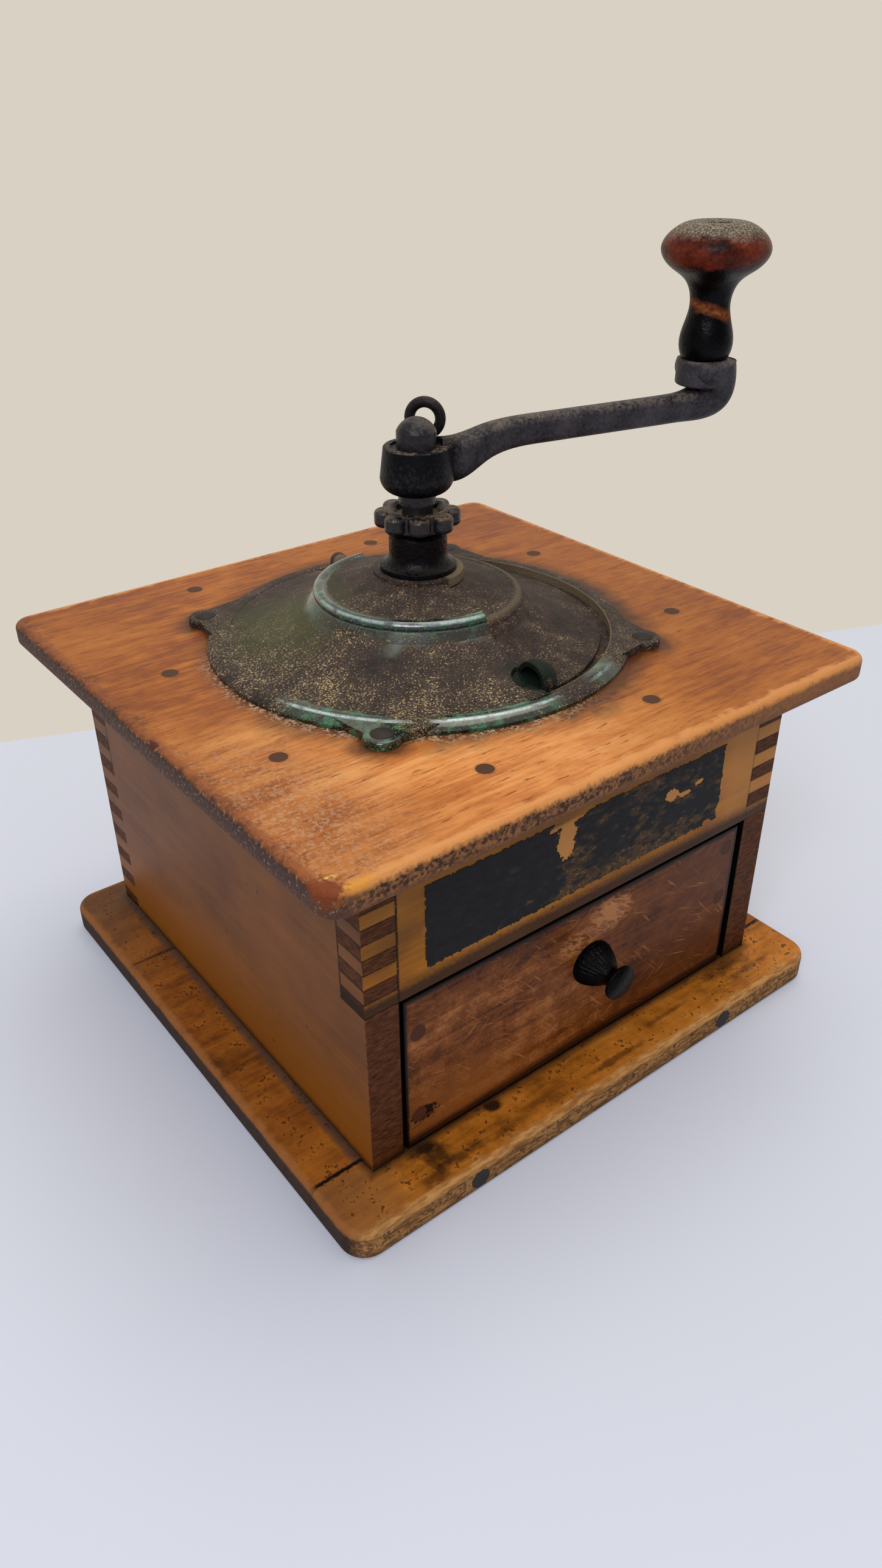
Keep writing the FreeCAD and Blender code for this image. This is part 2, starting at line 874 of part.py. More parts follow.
def neck_bush():
    """Flared bush that the spindle runs in, with its stem through the cover."""
    bore = spindle_radius + running_gap
    foot = collar_top + neck_foot_height
    flare = foot + neck_flare_height
    flare_via = neck_radius + (neck_foot_radius - neck_radius) * (1 - 2 * neck_flare_share)
    stem_end = collar_top - collar_step - door_drop - door_wall - door_gap - bush_nut_height
    start = (bore, stem_end)
    steps = [
        (neck_stem_radius, stem_end),
        (neck_stem_radius, collar_top),
        (neck_foot_radius, collar_top),
        (neck_foot_radius, foot),
        ((flare_via, foot + neck_flare_height * neck_flare_share), (neck_radius, flare)),
        (neck_radius, neck_top - neck_edge),
        (neck_radius - neck_edge, neck_top),
        (bore, neck_top),
    ]
    return turned(start, steps)


def bush_nut():
    """Hexagon nut under the cover; its spigot bears on the collar and leaves the door free to turn."""
    hex_top = collar_top - collar_step - door_drop - door_wall - door_gap
    corner = bush_nut_flats / math.sqrt(3)
    corners = [around(corner, 60.0 * index, hex_top - bush_nut_height) for index in range(7)]
    body = Part.Face(Part.makePolygon(corners)).extrude(UP * bush_nut_height)
    spigot = post(bush_nut_spigot_radius, hex_top, collar_top - collar_step - dome_wall)
    return fused([body, spigot]).cut(post(neck_stem_radius, hex_top - bush_nut_height, collar_top))


def adjusting_nut():
    bore = spindle_radius + running_gap
    lobe_low = nut_bottom + nut_foot_height
    lobe_high = lobe_low + nut_lobe_height
    body = turned(
        (bore, nut_bottom),
        [
            (nut_foot_radius, nut_bottom),
            (nut_core_radius, lobe_low),
            (nut_core_radius, lobe_high),
            (nut_rim_radius, nut_top),
            (nut_bowl_radius, nut_top),
            (nut_bowl_floor_radius, nut_top - nut_bowl_depth),
            (bore, nut_top - nut_bowl_depth),
        ],
    )
    lobe = post(nut_lobe_radius, lobe_low, lobe_high)
    ends = edges_at(lobe, lobe_low) + edges_at(lobe, lobe_high)
    lobe = lobe.makeFillet(min(nut_lobe_round, 0.45 * nut_lobe_height, 0.45 * nut_lobe_radius), ends)
    lobes = [
        moved(lobe, around(nut_lobe_centre, crank_angle + (index + 0.5) * 360.0 / nut_lobes))
        for index in range(nut_lobes)
    ]
    return fused([body] + lobes).cut(post(bore, nut_bottom, nut_top))


def lift_washer():
    bore = spindle_radius + running_gap
    return post(washer_radius, washer_bottom, washer_bottom + washer_thickness).cut(
        post(bore, washer_bottom, washer_bottom + washer_thickness)
    )


# Crank and its knob, laid out along +X and then turned to the angle it stands at

def arm_section(reach, height, tilt, depth, width):
    """Rounded rectangle across the arm: depth in the arm's plane, width across it."""
    corner = arm_corner_share * min(depth, width)
    a, b = width / 2, depth / 2
    edges = []
    bow = corner * (1 - math.sqrt(0.5))
    for sy, sz in ((1, 1), (-1, 1), (-1, -1), (1, -1)):
        side = Vector(0, sy * a, sz * (b - corner))
        end = Vector(0, sy * (a - corner), sz * b)
        via = Vector(0, sy * (a - bow), sz * (b - bow))
        first, last = (side, end) if sy * sz > 0 else (end, side)
        edges.append((first, via, last))
    wire = []
    for index, (first, via, last) in enumerate(edges):
        wire.append(Part.Arc(first, via, last).toShape())
        wire.append(Part.LineSegment(last, edges[(index + 1) % 4][0]).toShape())
    section = Part.Wire(wire)
    section.rotate(ORIGIN, Vector(0, 1, 0), -tilt)
    section.translate(Vector(reach, 0, height))
    return section


def crank_arm():
    """Arm that leaves the hub deep, thins along its length and turns up around the knob's boss."""
    first = hub_radius * arm_start_share
    bend = crank_length * arm_bend_share
    elbow = crank_length + boss_radius * 0.3
    sections = []
    for index in range(arm_steps):
        reach = first + (bend - first) * (index / arm_steps) ** arm_step_power
        flare = math.exp(-0.5 * ((reach - hub_radius) / arm_flare_length) ** 2)
        top = arm_line + arm_height / 2 - arm_top_dip * flare
        low = arm_line - arm_height / 2 - arm_root_drop * flare
        width = arm_width + (arm_root_width - arm_width) * flare
        sections.append(arm_section(reach, (top + low) / 2, 0.0, top - low, width))
    sections += [
        arm_section(bend, arm_line + arm_bend_rise, arm_bend_tilt, arm_height * 1.05, arm_width * 1.4),
        arm_section(elbow, arm_line + arm_elbow_rise, arm_elbow_tilt, arm_height * 1.35, arm_elbow_width),
        arm_section(elbow, boss_bottom + boss_edge_radius, 90.0, boss_radius * 1.56, arm_end_width),
        arm_section(crank_length + boss_radius * 0.14, boss_top - arm_end_drop, 90.0,
                    boss_radius * 1.84, arm_end_width),
    ]
    return Part.makeLoft(sections, True, False)


def crank():
    foot_z = hub_bottom + hub_foot_height
    start = (0, hub_bottom)
    steps = [
        (hub_foot_radius, hub_bottom),
        ((hub_radius - hub_foot_round, hub_bottom + hub_foot_round), (hub_radius, foot_z)),
        (hub_top_radius, hub_top - hub_edge),
        (hub_top_radius - hub_edge, hub_top),
        (hub_top_radius - hub_rim_width, hub_top),
        (hub_top_radius - hub_rim_width, acorn_seat),
        (0, acorn_seat),
    ]
    hub = turned(start, steps)
    boss = post(boss_radius, boss_bottom, boss_top, crank_length, 0)
    boss = boss.makeFillet(boss_edge_radius, edges_at(boss, boss_bottom) + edges_at(boss, boss_top))
    eye_at = around(eye_reach, eye_angle - crank_angle)
    eye_lug = post(eye_lug_radius, hub_bottom + hub_foot_height, hub_top, eye_at.x, eye_at.y)
    recess = post(hub_top_radius - hub_rim_width, acorn_seat, hub_top + arm_height)
    arm = crank_arm().cut(recess)
    body = turned_about_z(fused([hub, arm, boss, eye_lug.cut(recess)]), crank_angle)
    body = body.cut(square_bar(hub_bottom, acorn_seat)).cut(knob_pin())
    return body.cut(eye_stem())


def acorn_nut():
    wall = acorn_seat + acorn_wall_height
    start = (0, acorn_seat)
    steps = [
        (acorn_radius, acorn_seat),
        (acorn_radius, wall),
        cap_arc(acorn_radius, wall, acorn_height - acorn_wall_height),
    ]
    return turned(start, steps).cut(post(thread_radius, acorn_seat, wall))


def eye_stem():
    at = around(eye_reach, eye_angle)
    return post(eye_stem_radius, hub_bottom + hub_foot_height, hub_top + eye_wire_radius, at.x, at.y)


def eye_screw():
    """Ring-headed screw in the hub's rear lug; the ring's flat faces the spindle."""
    at = around(eye_reach, eye_angle, hub_top + eye_wire_radius + eye_ring_radius - eye_sink)
    ring = Part.makeTorus(eye_ring_radius, eye_wire_radius, at, around(1.0, eye_angle))
    lowest = post(2 * eye_ring_radius, hub_bottom, hub_top, at.x, at.y)
    return fused([ring.cut(lowest), eye_stem()])


def knob_place():
    return around(crank_length, crank_angle)


def knob_pin():
    top = knob_bottom + knob_height - knob_recess_depth + knob_end_gap
    shank = post(knob_pin_radius, boss_bottom, top)
    head = post(knob_pin_head_radius, top, top + knob_pin_head_height)
    head = head.makeFillet(0.45 * knob_pin_head_height, edges_at(head, top + knob_pin_head_height))
    return moved(fused([shank, head]), knob_place())


def crank_knob():
    top = knob_bottom + knob_height
    points = [
        (knob_foot_radius, knob_bottom),
        (knob_bulge_radius, knob_bottom + knob_bulge_rise),
        (knob_waist_radius, knob_bottom + knob_waist_rise),
        (knob_flare_radius, knob_bottom + knob_flare_rise),
        (knob_under_radius, knob_bottom + knob_under_rise),
        (knob_head_radius, knob_bottom + knob_head_rise),
        (knob_crown_radius, top - knob_crown_drop),
        (knob_recess_radius, top),
    ]
    side = Part.BSplineCurve()
    side.interpolate([Vector(radius, 0, height) for radius, height in points])
    inner = [
        Vector(knob_recess_radius, 0, top),
        Vector(knob_recess_radius, 0, top - knob_recess_depth),
        Vector(knob_pin_radius + running_gap, 0, top - knob_recess_depth),
        Vector(knob_pin_radius + running_gap, 0, knob_bottom),
        Vector(knob_foot_radius, 0, knob_bottom),
    ]
    straight = [Part.LineSegment(a, b).toShape() for a, b in zip(inner, inner[1:])]
    wire = Part.Wire([side.toShape()] + straight)
    return moved(Part.Face(wire).revolve(ORIGIN, UP, 360), knob_place())


def top_board():
    board = rounded_board(
        top_width, top_depth, board_bottom, top_thickness, top_corner_radius, top_edge_radius, top_edge_radius
    )
    board = moved(board, Vector(0, -top_forward, 0))
    hole = post(hopper_radius, board_bottom, board_top)
    rebate = post(hopper_lip_radius, board_top - hopper_lip_thickness, board_top)
    return cut_all(board, [hole, rebate] + top_nails() + dome_screws())


def build():
    nails = top_nails()
    screws = base_screws()
    base = cut_all(whole_base(), screws + screw_wells() + strip_nails())
    pieces = {
        "base_board": base.cut(strip_space()),
        "base_front_strip": base.common(strip_space()),
        "strip_nails": Part.makeCompound(strip_nails()),
        "base_screws": Part.makeCompound(screws),
        "left_side": cut_all(side_panel(-1), nails + screws),
        "right_side": cut_all(side_panel(1), nails + screws),
        "front_rail": cut_all(front_rail(), nails),
        "back_panel": cut_all(back_panel(), nails),
        "top_board": top_board(),
        "top_nails": Part.makeCompound(nails),
        "dome_cover": dome_cover(),
        "dome_screws": Part.makeCompound(dome_screws()),
        "dome_door": dome_door(),
        "hopper": hopper(),
        "burr_ring": burr_ring(),
        "burr_ring_screws": Part.makeCompound(ring_screws()),
        "spindle_bridge": bridge(),
        "bridge_screws": Part.makeCompound(bridge_screws()),
        "neck_bush": neck_bush(),
        "neck_nut": bush_nut(),
        "adjusting_nut": adjusting_nut(),
        "lift_washer": lift_washer(),
        "spindle": spindle(),
        "inner_burr": inner_burr(),
        "burr_pin": burr_pin(),
        "crank": crank(),
        "acorn_nut": acorn_nut(),
        "eye_screw": eye_screw(),
        "knob_pin": knob_pin(),
        "crank_knob": crank_knob(),
    }
    pieces.update(drawer_pieces())
    return pieces


os.makedirs("parts", exist_ok=True)
for name, shape in build().items():
    shape.exportStep(os.path.join("parts", name + ".step"))
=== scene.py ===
import math

import bmesh
import bpy
from mathutils import Matrix, Vector, noise


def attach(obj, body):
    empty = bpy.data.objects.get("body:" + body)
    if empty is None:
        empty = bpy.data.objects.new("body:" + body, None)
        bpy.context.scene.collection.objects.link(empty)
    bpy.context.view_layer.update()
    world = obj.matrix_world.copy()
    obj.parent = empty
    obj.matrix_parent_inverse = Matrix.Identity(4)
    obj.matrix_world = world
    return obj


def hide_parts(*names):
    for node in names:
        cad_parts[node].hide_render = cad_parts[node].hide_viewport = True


# Dressed scene of a hand crank box coffee mill. Metres, +Z up, drawer towards -Y, spindle on the Z axis.
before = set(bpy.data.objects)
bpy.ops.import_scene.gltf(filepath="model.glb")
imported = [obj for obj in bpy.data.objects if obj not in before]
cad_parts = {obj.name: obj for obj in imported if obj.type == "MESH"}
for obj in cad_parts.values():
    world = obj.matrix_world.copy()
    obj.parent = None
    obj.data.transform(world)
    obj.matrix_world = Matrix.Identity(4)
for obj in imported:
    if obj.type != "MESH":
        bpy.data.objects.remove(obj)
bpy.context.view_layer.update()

MM = 0.001
# Further than any two points of the mill lie apart, in millimetres
far_off = 1000.0

# Places on the mill in millimetres, repeated from the part's own sizes
top_half = (85.5, 82.65)
top_middle = (0.0, -2.4)
top_face = 109.28
base_half = (85.2, 83.5)
base_middle = (0.0, -2.9)
base_face = 9.0
strip_seam = -66.5
box_half = (70.0, 71.5)
box_middle = (0.0, 0.0)
box_front = -box_half[1]
rail_low = 59.88
finger_width = 4.24
finger_length = 9.5
drawer_half = (58.6, 24.6)
drawer_middle = (-0.7, 34.3)
bead_radius = 26.8
rim_radius = 55.0
lug_line = 42.85
knob_axis = (86.383, -16.791)
knob_foot = 173.38
label_middle = (-2.65, box_front, 77.5)
pull_place = (2.0, box_front, 38.8)
top_nails = [(x, y, top_face) for x, y in (
    (-65.25, -34.0), (-65.25, 20.0), (65.25, -33.0), (65.25, 26.0),
    (-32.0, -66.75), (21.0, -66.75), (-34.0, 66.75), (30.0, 66.75),
)]
drawer_nails = [(x, box_front, z) for x, z in (
    (-55.3, 19.6), (-55.3, 47.1), (53.9, 35.6), (53.9, 53.1),
)]


def linear(code):
    """An sRGB hex colour as linear red, green, blue and alpha."""
    parts = [int(code[i:i + 2], 16) / 255 for i in (1, 3, 5)]
    return [p / 12.92 if p <= 0.04045 else ((p + 0.055) / 1.055) ** 2.4 for p in parts] + [1.0]


def add(tree, kind, fills=(), out=0, stops=None, **settings):
    """Add one shader node, written Kind or Kind:OPERATION, with its settings and links; return one output."""
    kind, _, operation = kind.partition(":")
    item = tree.nodes.new("ShaderNode" + kind)
    if operation:
        item.operation = operation
    for name, value in settings.items():
        setattr(item, name, value)
    for key, value in fills.items() if isinstance(fills, dict) else enumerate(fills):
        if isinstance(value, bpy.types.NodeSocket):
            tree.links.new(value, item.inputs[key])
        else:
            item.inputs[key].default_value = linear(value) if isinstance(value, str) else value
    if stops:
        ramp = item.color_ramp.elements
        for end, (place, code) in ((0, stops[0]), (1, stops[-1])):
            ramp[end].position = place
            ramp[end].color = linear(code)
        for place, code in stops[1:-1]:
            ramp.new(place).color = linear(code)
    return item.outputs if out is None else item.outputs[out]


def new_look(name):
    """A new material and its node tree."""
    look = bpy.data.materials.new(name)
    look.use_nodes = True
    return look, look.node_tree


def in_mm(tree):
    """The surface point in millimetres, and its x, y and z."""
    place = add(tree, "TexCoord", out="Object")
    point = add(tree, "VectorMath:MULTIPLY", [place, [1.0 / MM] * 3])
    x, y, z = add(tree, "SeparateXYZ", [point], out=None)
    return point, x, y, z


def facing(tree):
    """How much the surface faces along x, y and z, by its own normal."""
    return add(tree, "SeparateXYZ", [add(tree, "TexCoord", out="Normal")], out=None)


def apart(tree, value, place):
    """How far a value lies from a place, either way."""
    return add(tree, "Math:ABSOLUTE", [add(tree, "Math:SUBTRACT", [value, place])])


def from_axis(tree, point):
    """The point brought down to z = 0, and its distance from the spindle's axis."""
    flat = add(tree, "VectorMath:MULTIPLY", [point, (1.0, 1.0, 0.0)])
    return flat, add(tree, "VectorMath:LENGTH", [flat], out="Value")


def inset(tree, across, along, half, middle):
    """How far outside the outline of a board a point lies, in mm: 0 on its edges, negative inside."""
    side = add(tree, "Math:SUBTRACT", [apart(tree, across, middle[0]), half[0]])
    end = add(tree, "Math:SUBTRACT", [apart(tree, along, middle[1]), half[1]])
    return add(tree, "Math:MAXIMUM", [side, end])


def patches(tree, point, size, seed=0.0, detail=3.0, warp=0.0):
    """Random patches about size mm along x, y and z; values spread round 0.5."""
    cells = add(tree, "Mapping", {1: (seed, 2 * seed, 3 * seed), 0: point, 3: [1.0 / s for s in size]})
    values = {"Vector": cells, "Scale": 1.0, "Detail": detail, "Roughness": 0.6, "Distortion": warp}
    return add(tree, "TexNoise", values)


def board_grain(tree, point, along, band=6.0, seed=0.0):
    """Growth bands and fine fibre of a sawn board whose grain runs along axis number along."""
    wide = [band, band, band]
    wide[along] = 26.0 * band
    fine = [1.0, 1.0, 1.0]
    fine[along] = 34.0
    return patches(tree, point, wide, seed, 4.0, 0.5), patches(tree, point, fine, seed + 5.0, 3.0)


def worn_spot(tree, point, centre, half, ragged, noise_field, soft=0.5):
    """1 in a ragged oval round centre, falling to 0 outside it; half gives its half sizes in mm."""
    away = add(tree, "VectorMath:SUBTRACT", [point, centre])
    away = add(tree, "VectorMath:DIVIDE", [away, half])
    reach = add(tree, "VectorMath:LENGTH", [away], out="Value")
    shake = add(tree, "Math:SUBTRACT", [noise_field, 0.5])
    reach = add(tree, "Math:MULTIPLY_ADD", [shake, ragged, reach])
    return add(tree, "MapRange", [reach, 1.0 - soft, 1.0 + soft, 1.0, 0.0])


def near_marks(tree, point, marks, radius, noise_field):
    """1 within a ragged radius of any of the marks, for stains round nails."""
    nearest = far_off
    for mark in marks:
        gap = add(tree, "VectorMath:DISTANCE", [point, mark], out="Value")
        nearest = add(tree, "Math:MINIMUM", [gap, nearest])
    ragged = add(tree, "Math:MULTIPLY_ADD", [noise_field, -2.4, nearest])
    return add(tree, "MapRange", [ragged, radius - 1.8, radius - 0.6, 1.0, 0.0])


def arris(tree, reach):
    """1 along sharp edges and corners, 0 on flats; reach in mm is how far the wear runs in."""
    soft = add(tree, "Bevel", {"Radius": reach * MM}, samples=6)
    flat = add(tree, "NewGeometry", out="Normal")
    same = add(tree, "VectorMath:DOT_PRODUCT", [soft, flat], out="Value")
    return add(tree, "MapRange", [same, 0.99, 0.75, 0.0, 1.0])


def dress(tree, colour, rough, height, depth, edge=0.0, specular=0.35):
    """Join colour, roughness and relief to the shader; depth and edge rounding in mm."""
    shader = tree.nodes["Principled BSDF"]
    tree.links.new(colour, shader.inputs["Base Color"])
    if isinstance(rough, bpy.types.NodeSocket):
        tree.links.new(rough, shader.inputs["Roughness"])
    else:
        shader.inputs["Roughness"].default_value = rough
    shader.inputs["Specular IOR Level"].default_value = specular
    relief = {"Strength": 1.0, "Distance": depth * MM, "Height": height}
    if edge:
        relief["Normal"] = add(tree, "Bevel", {"Radius": edge * MM}, samples=4)
    tree.links.new(add(tree, "Bump", relief), shader.inputs["Normal"])
    return shader


# Pattern sizes are real millimetres, but for grit and dust: at 0.5 to 1.1 mm they are coarser than real
# coffee dust, so that they still show in the picture.


def honey_top():
    """Pine under thin honey varnish: satin orange streaked along x, pale rubbed arris, blackened edges."""
    look, tree = new_look("honey_varnish_on_pine")
    point, x, y, z = in_mm(tree)
    bands = patches(tree, point, (36.0, 5.0, 9.0), 1.0, 5.0, 1.2)
    fibre = patches(tree, point, (9.0, 0.9, 2.0), 6.0, 3.0)
    cloud = patches(tree, point, (48.0, 30.0, 48.0), 3.0)
    lumps = patches(tree, point, (4.0, 4.0, 4.0), 9.0)
    grit = patches(tree, point, (0.9, 0.9, 0.9), 8.0, 2.0)
    tone = add(tree, "Math:MULTIPLY_ADD", [bands, 0.4, add(tree, "Math:MULTIPLY", [fibre, 0.3])])
    tone = add(tree, "Math:MULTIPLY_ADD", [cloud, 0.4, tone])
    tone = add(tree, "Math:MULTIPLY_ADD", [lumps, 0.15, tone])
    colour = add(tree, "ValToRGB", [tone],
                 stops=[(0.52, "#854414"), (0.6, "#a75f1f"), (0.66, "#b97128"), (0.76, "#cb8738")])
    # Bleached to the front left, aged darker to both sides and the back
    front = add(tree, "MapRange", [add(tree, "Math:MULTIPLY_ADD", [cloud, -50.0, y]), 0.0, -90.0, 0.0, 0.9])
    bleached = add(tree, "ValToRGB", [tone], stops=[(0.54, "#b66b2f"), (0.64, "#d08848"), (0.76, "#dfa163")])
    front = add(tree, "Math:MULTIPLY", [front, add(tree, "MapRange", [x, -10.0, 35.0, 1.0, 0.05])])
    colour = add(tree, "MixRGB", [front, colour, bleached])
    swayed = add(tree, "Math:MULTIPLY_ADD", [cloud, 40.0, x])
    aged = add(tree, "ValToRGB", [tone], stops=[(0.54, "#7a3c0d"), (0.64, "#935012"), (0.76, "#a25e1b")])
    for place, start, end, most in (
        (swayed, 14.0, 60.0, 0.85), (swayed, -20.0, -55.0, 0.7),
        (add(tree, "Math:MULTIPLY_ADD", [cloud, 40.0, y]), 30.0, 75.0, 0.65),
    ):
        colour = add(tree, "MixRGB", [add(tree, "MapRange", [place, start, end, 0.0, most]), colour, aged])
    # Short dark dashes along the grain
    dash = patches(tree, point, (6.0, 0.7, 4.0), 21.0, 3.0)
    dash = add(tree, "MapRange", [dash, 0.61, 0.68, 0.0, 0.8])
    colour = add(tree, "MixRGB", [dash, colour, "#6b3414"])
    # Dark halo round the cover and its lugs
    flat, radius = from_axis(tree, point)
    stray = add(tree, "Math:MULTIPLY_ADD", [cloud, -18.0, radius])
    stray = add(tree, "Math:MULTIPLY_ADD", [lumps, -8.0, stray])
    halo = add(tree, "MapRange", [stray, 45.0, 52.0, 0.85, 0.0])
    folded = add(tree, "VectorMath:ABSOLUTE", [flat])
    lug = add(tree, "VectorMath:DISTANCE", [folded, (lug_line, lug_line, 0.0)], out="Value")
    lug = add(tree, "Math:MULTIPLY_ADD", [lumps, -7.0, lug])
    halo = add(tree, "Math:MAXIMUM", [halo, add(tree, "MapRange", [lug, 2.0, 7.0, 0.85, 0.0])])
    colour = add(tree, "MixRGB", [halo, colour, "#38190b"])
    # Coffee dust in the front left corner and against the cover
    spread = worn_spot(tree, point, (-73.0, -56.0, top_face), (13.0, 27.0, 30.0), 1.6, lumps, 0.8)
    spread = add(tree, "Math:MULTIPLY", [spread, 0.4])
    crust = add(tree, "MapRange", [add(tree, "Math:MULTIPLY_ADD", [lumps, -7.0, radius]),
                                   53.0, 58.5, 0.95, 0.0])
    lee = add(tree, "Math:ADD", [x, add(tree, "Math:MULTIPLY", [y, 0.8])])
    crust = add(tree, "Math:MULTIPLY", [crust, add(tree, "MapRange", [lee, -30.0, -52.0, 0.0, 1.0])])
    dust = add(tree, "Math:MAXIMUM", [spread, crust])
    grains = add(tree, "MapRange", [grit, 0.47, 0.58, 0.0, 0.85])
    grains = add(tree, "Math:MULTIPLY", [grains, dust])
    colour = add(tree, "MixRGB", [grains, colour, "#c3a88b"])
    # Rubbed arris, and grimy upright edges with a silvery left one
    outer = inset(tree, x, y, top_half, top_middle)
    rubbed = add(tree, "Math:MULTIPLY_ADD", [lumps, 4.0, outer])
    rubbed = add(tree, "Math:MULTIPLY_ADD", [fibre, 3.0, rubbed])
    rubbed = add(tree, "MapRange", [rubbed, 0.4, 1.8, 0.0, 0.75])
    left = add(tree, "MapRange", [x, -78.0, -82.0, 0.0, 1.0])
    pale = add(tree, "MixRGB", [left, "#d08f52", "#83451f"])
    colour = add(tree, "MixRGB", [rubbed, colour, pale])
    shaken = add(tree, "Math:MULTIPLY_ADD", [lumps, 2.6, z])
    shaken = add(tree, "Math:MULTIPLY_ADD", [grit, 1.2, shaken])
    shaken = add(tree, "Math:MULTIPLY_ADD", [left, -0.9, shaken])
    grime = add(tree, "MapRange", [shaken, top_face + 1.2, top_face - 0.2, 0.0, 1.0])
    pitted = add(tree, "MapRange", [grit, 0.4, 0.6, 0.0, 1.0])
    soil = add(tree, "MixRGB", [pitted, "#38200f", "#8c5c34"])
    cleaner = add(tree, "MapRange", [x, -5.0, 55.0, 0.0, 0.75])
    soil = add(tree, "MixRGB", [cleaner, soil, "#8c5a30"])
    silver = add(tree, "MapRange", [grit, 0.6, 0.68, 0.0, 0.8])
    silver = add(tree, "MixRGB", [silver, "#3b2620", "#94867d"])
    soil = add(tree, "MixRGB", [add(tree, "Math:MULTIPLY", [left, 0.85]), soil, silver])
    colour = add(tree, "MixRGB", [grime, colour, soil])
    low = add(tree, "MapRange", [shaken, top_face - 2.6, top_face - 3.6, 0.0, 0.75])
    low = add(tree, "Math:MULTIPLY", [low, add(tree, "MapRange", [left, 0.0, 1.0, 1.0, 0.3])])
    colour = add(tree, "MixRGB", [low, colour, "#75492b"])
    # Rust round the nails, then single chips along the left edge
    stain = near_marks(tree, point, top_nails, 2.3, grit)
    stain = add(tree, "Math:MULTIPLY", [stain, 0.6])
    colour = add(tree, "MixRGB", [stain, colour, "#4a2512"])
    for centre, half, code in (
        ((-81.8, -79.3), (2.0, 0.8), "#e9bd6a"), ((-79.0, -83.8), (5.5, 1.1), "#c98a35"),
        ((-84.6, -10.8), (1.0, 2.0), "#4a1c12"), ((-84.0, -82.0), (4.0, 4.0), "#74340e"),
    ):
        mark = worn_spot(tree, point, (*centre, top_face), (*half, 4.0), 1.6, grit, 0.3)
        colour = add(tree, "MixRGB", [mark, colour, code])
    rough = add(tree, "Math:MULTIPLY_ADD", [add(tree, "Math:MAXIMUM", [grime, grains]), 0.2, 0.42])
    bumpy = add(tree, "Math:MULTIPLY", [grime, grit])
    fine = add(tree, "Math:MULTIPLY_ADD", [fibre, 0.3, grains])
    height = add(tree, "Math:MULTIPLY_ADD", [bumpy, 2.2, fine])
    dress(tree, colour, rough, height, 0.24, specular=0.25)
    return look


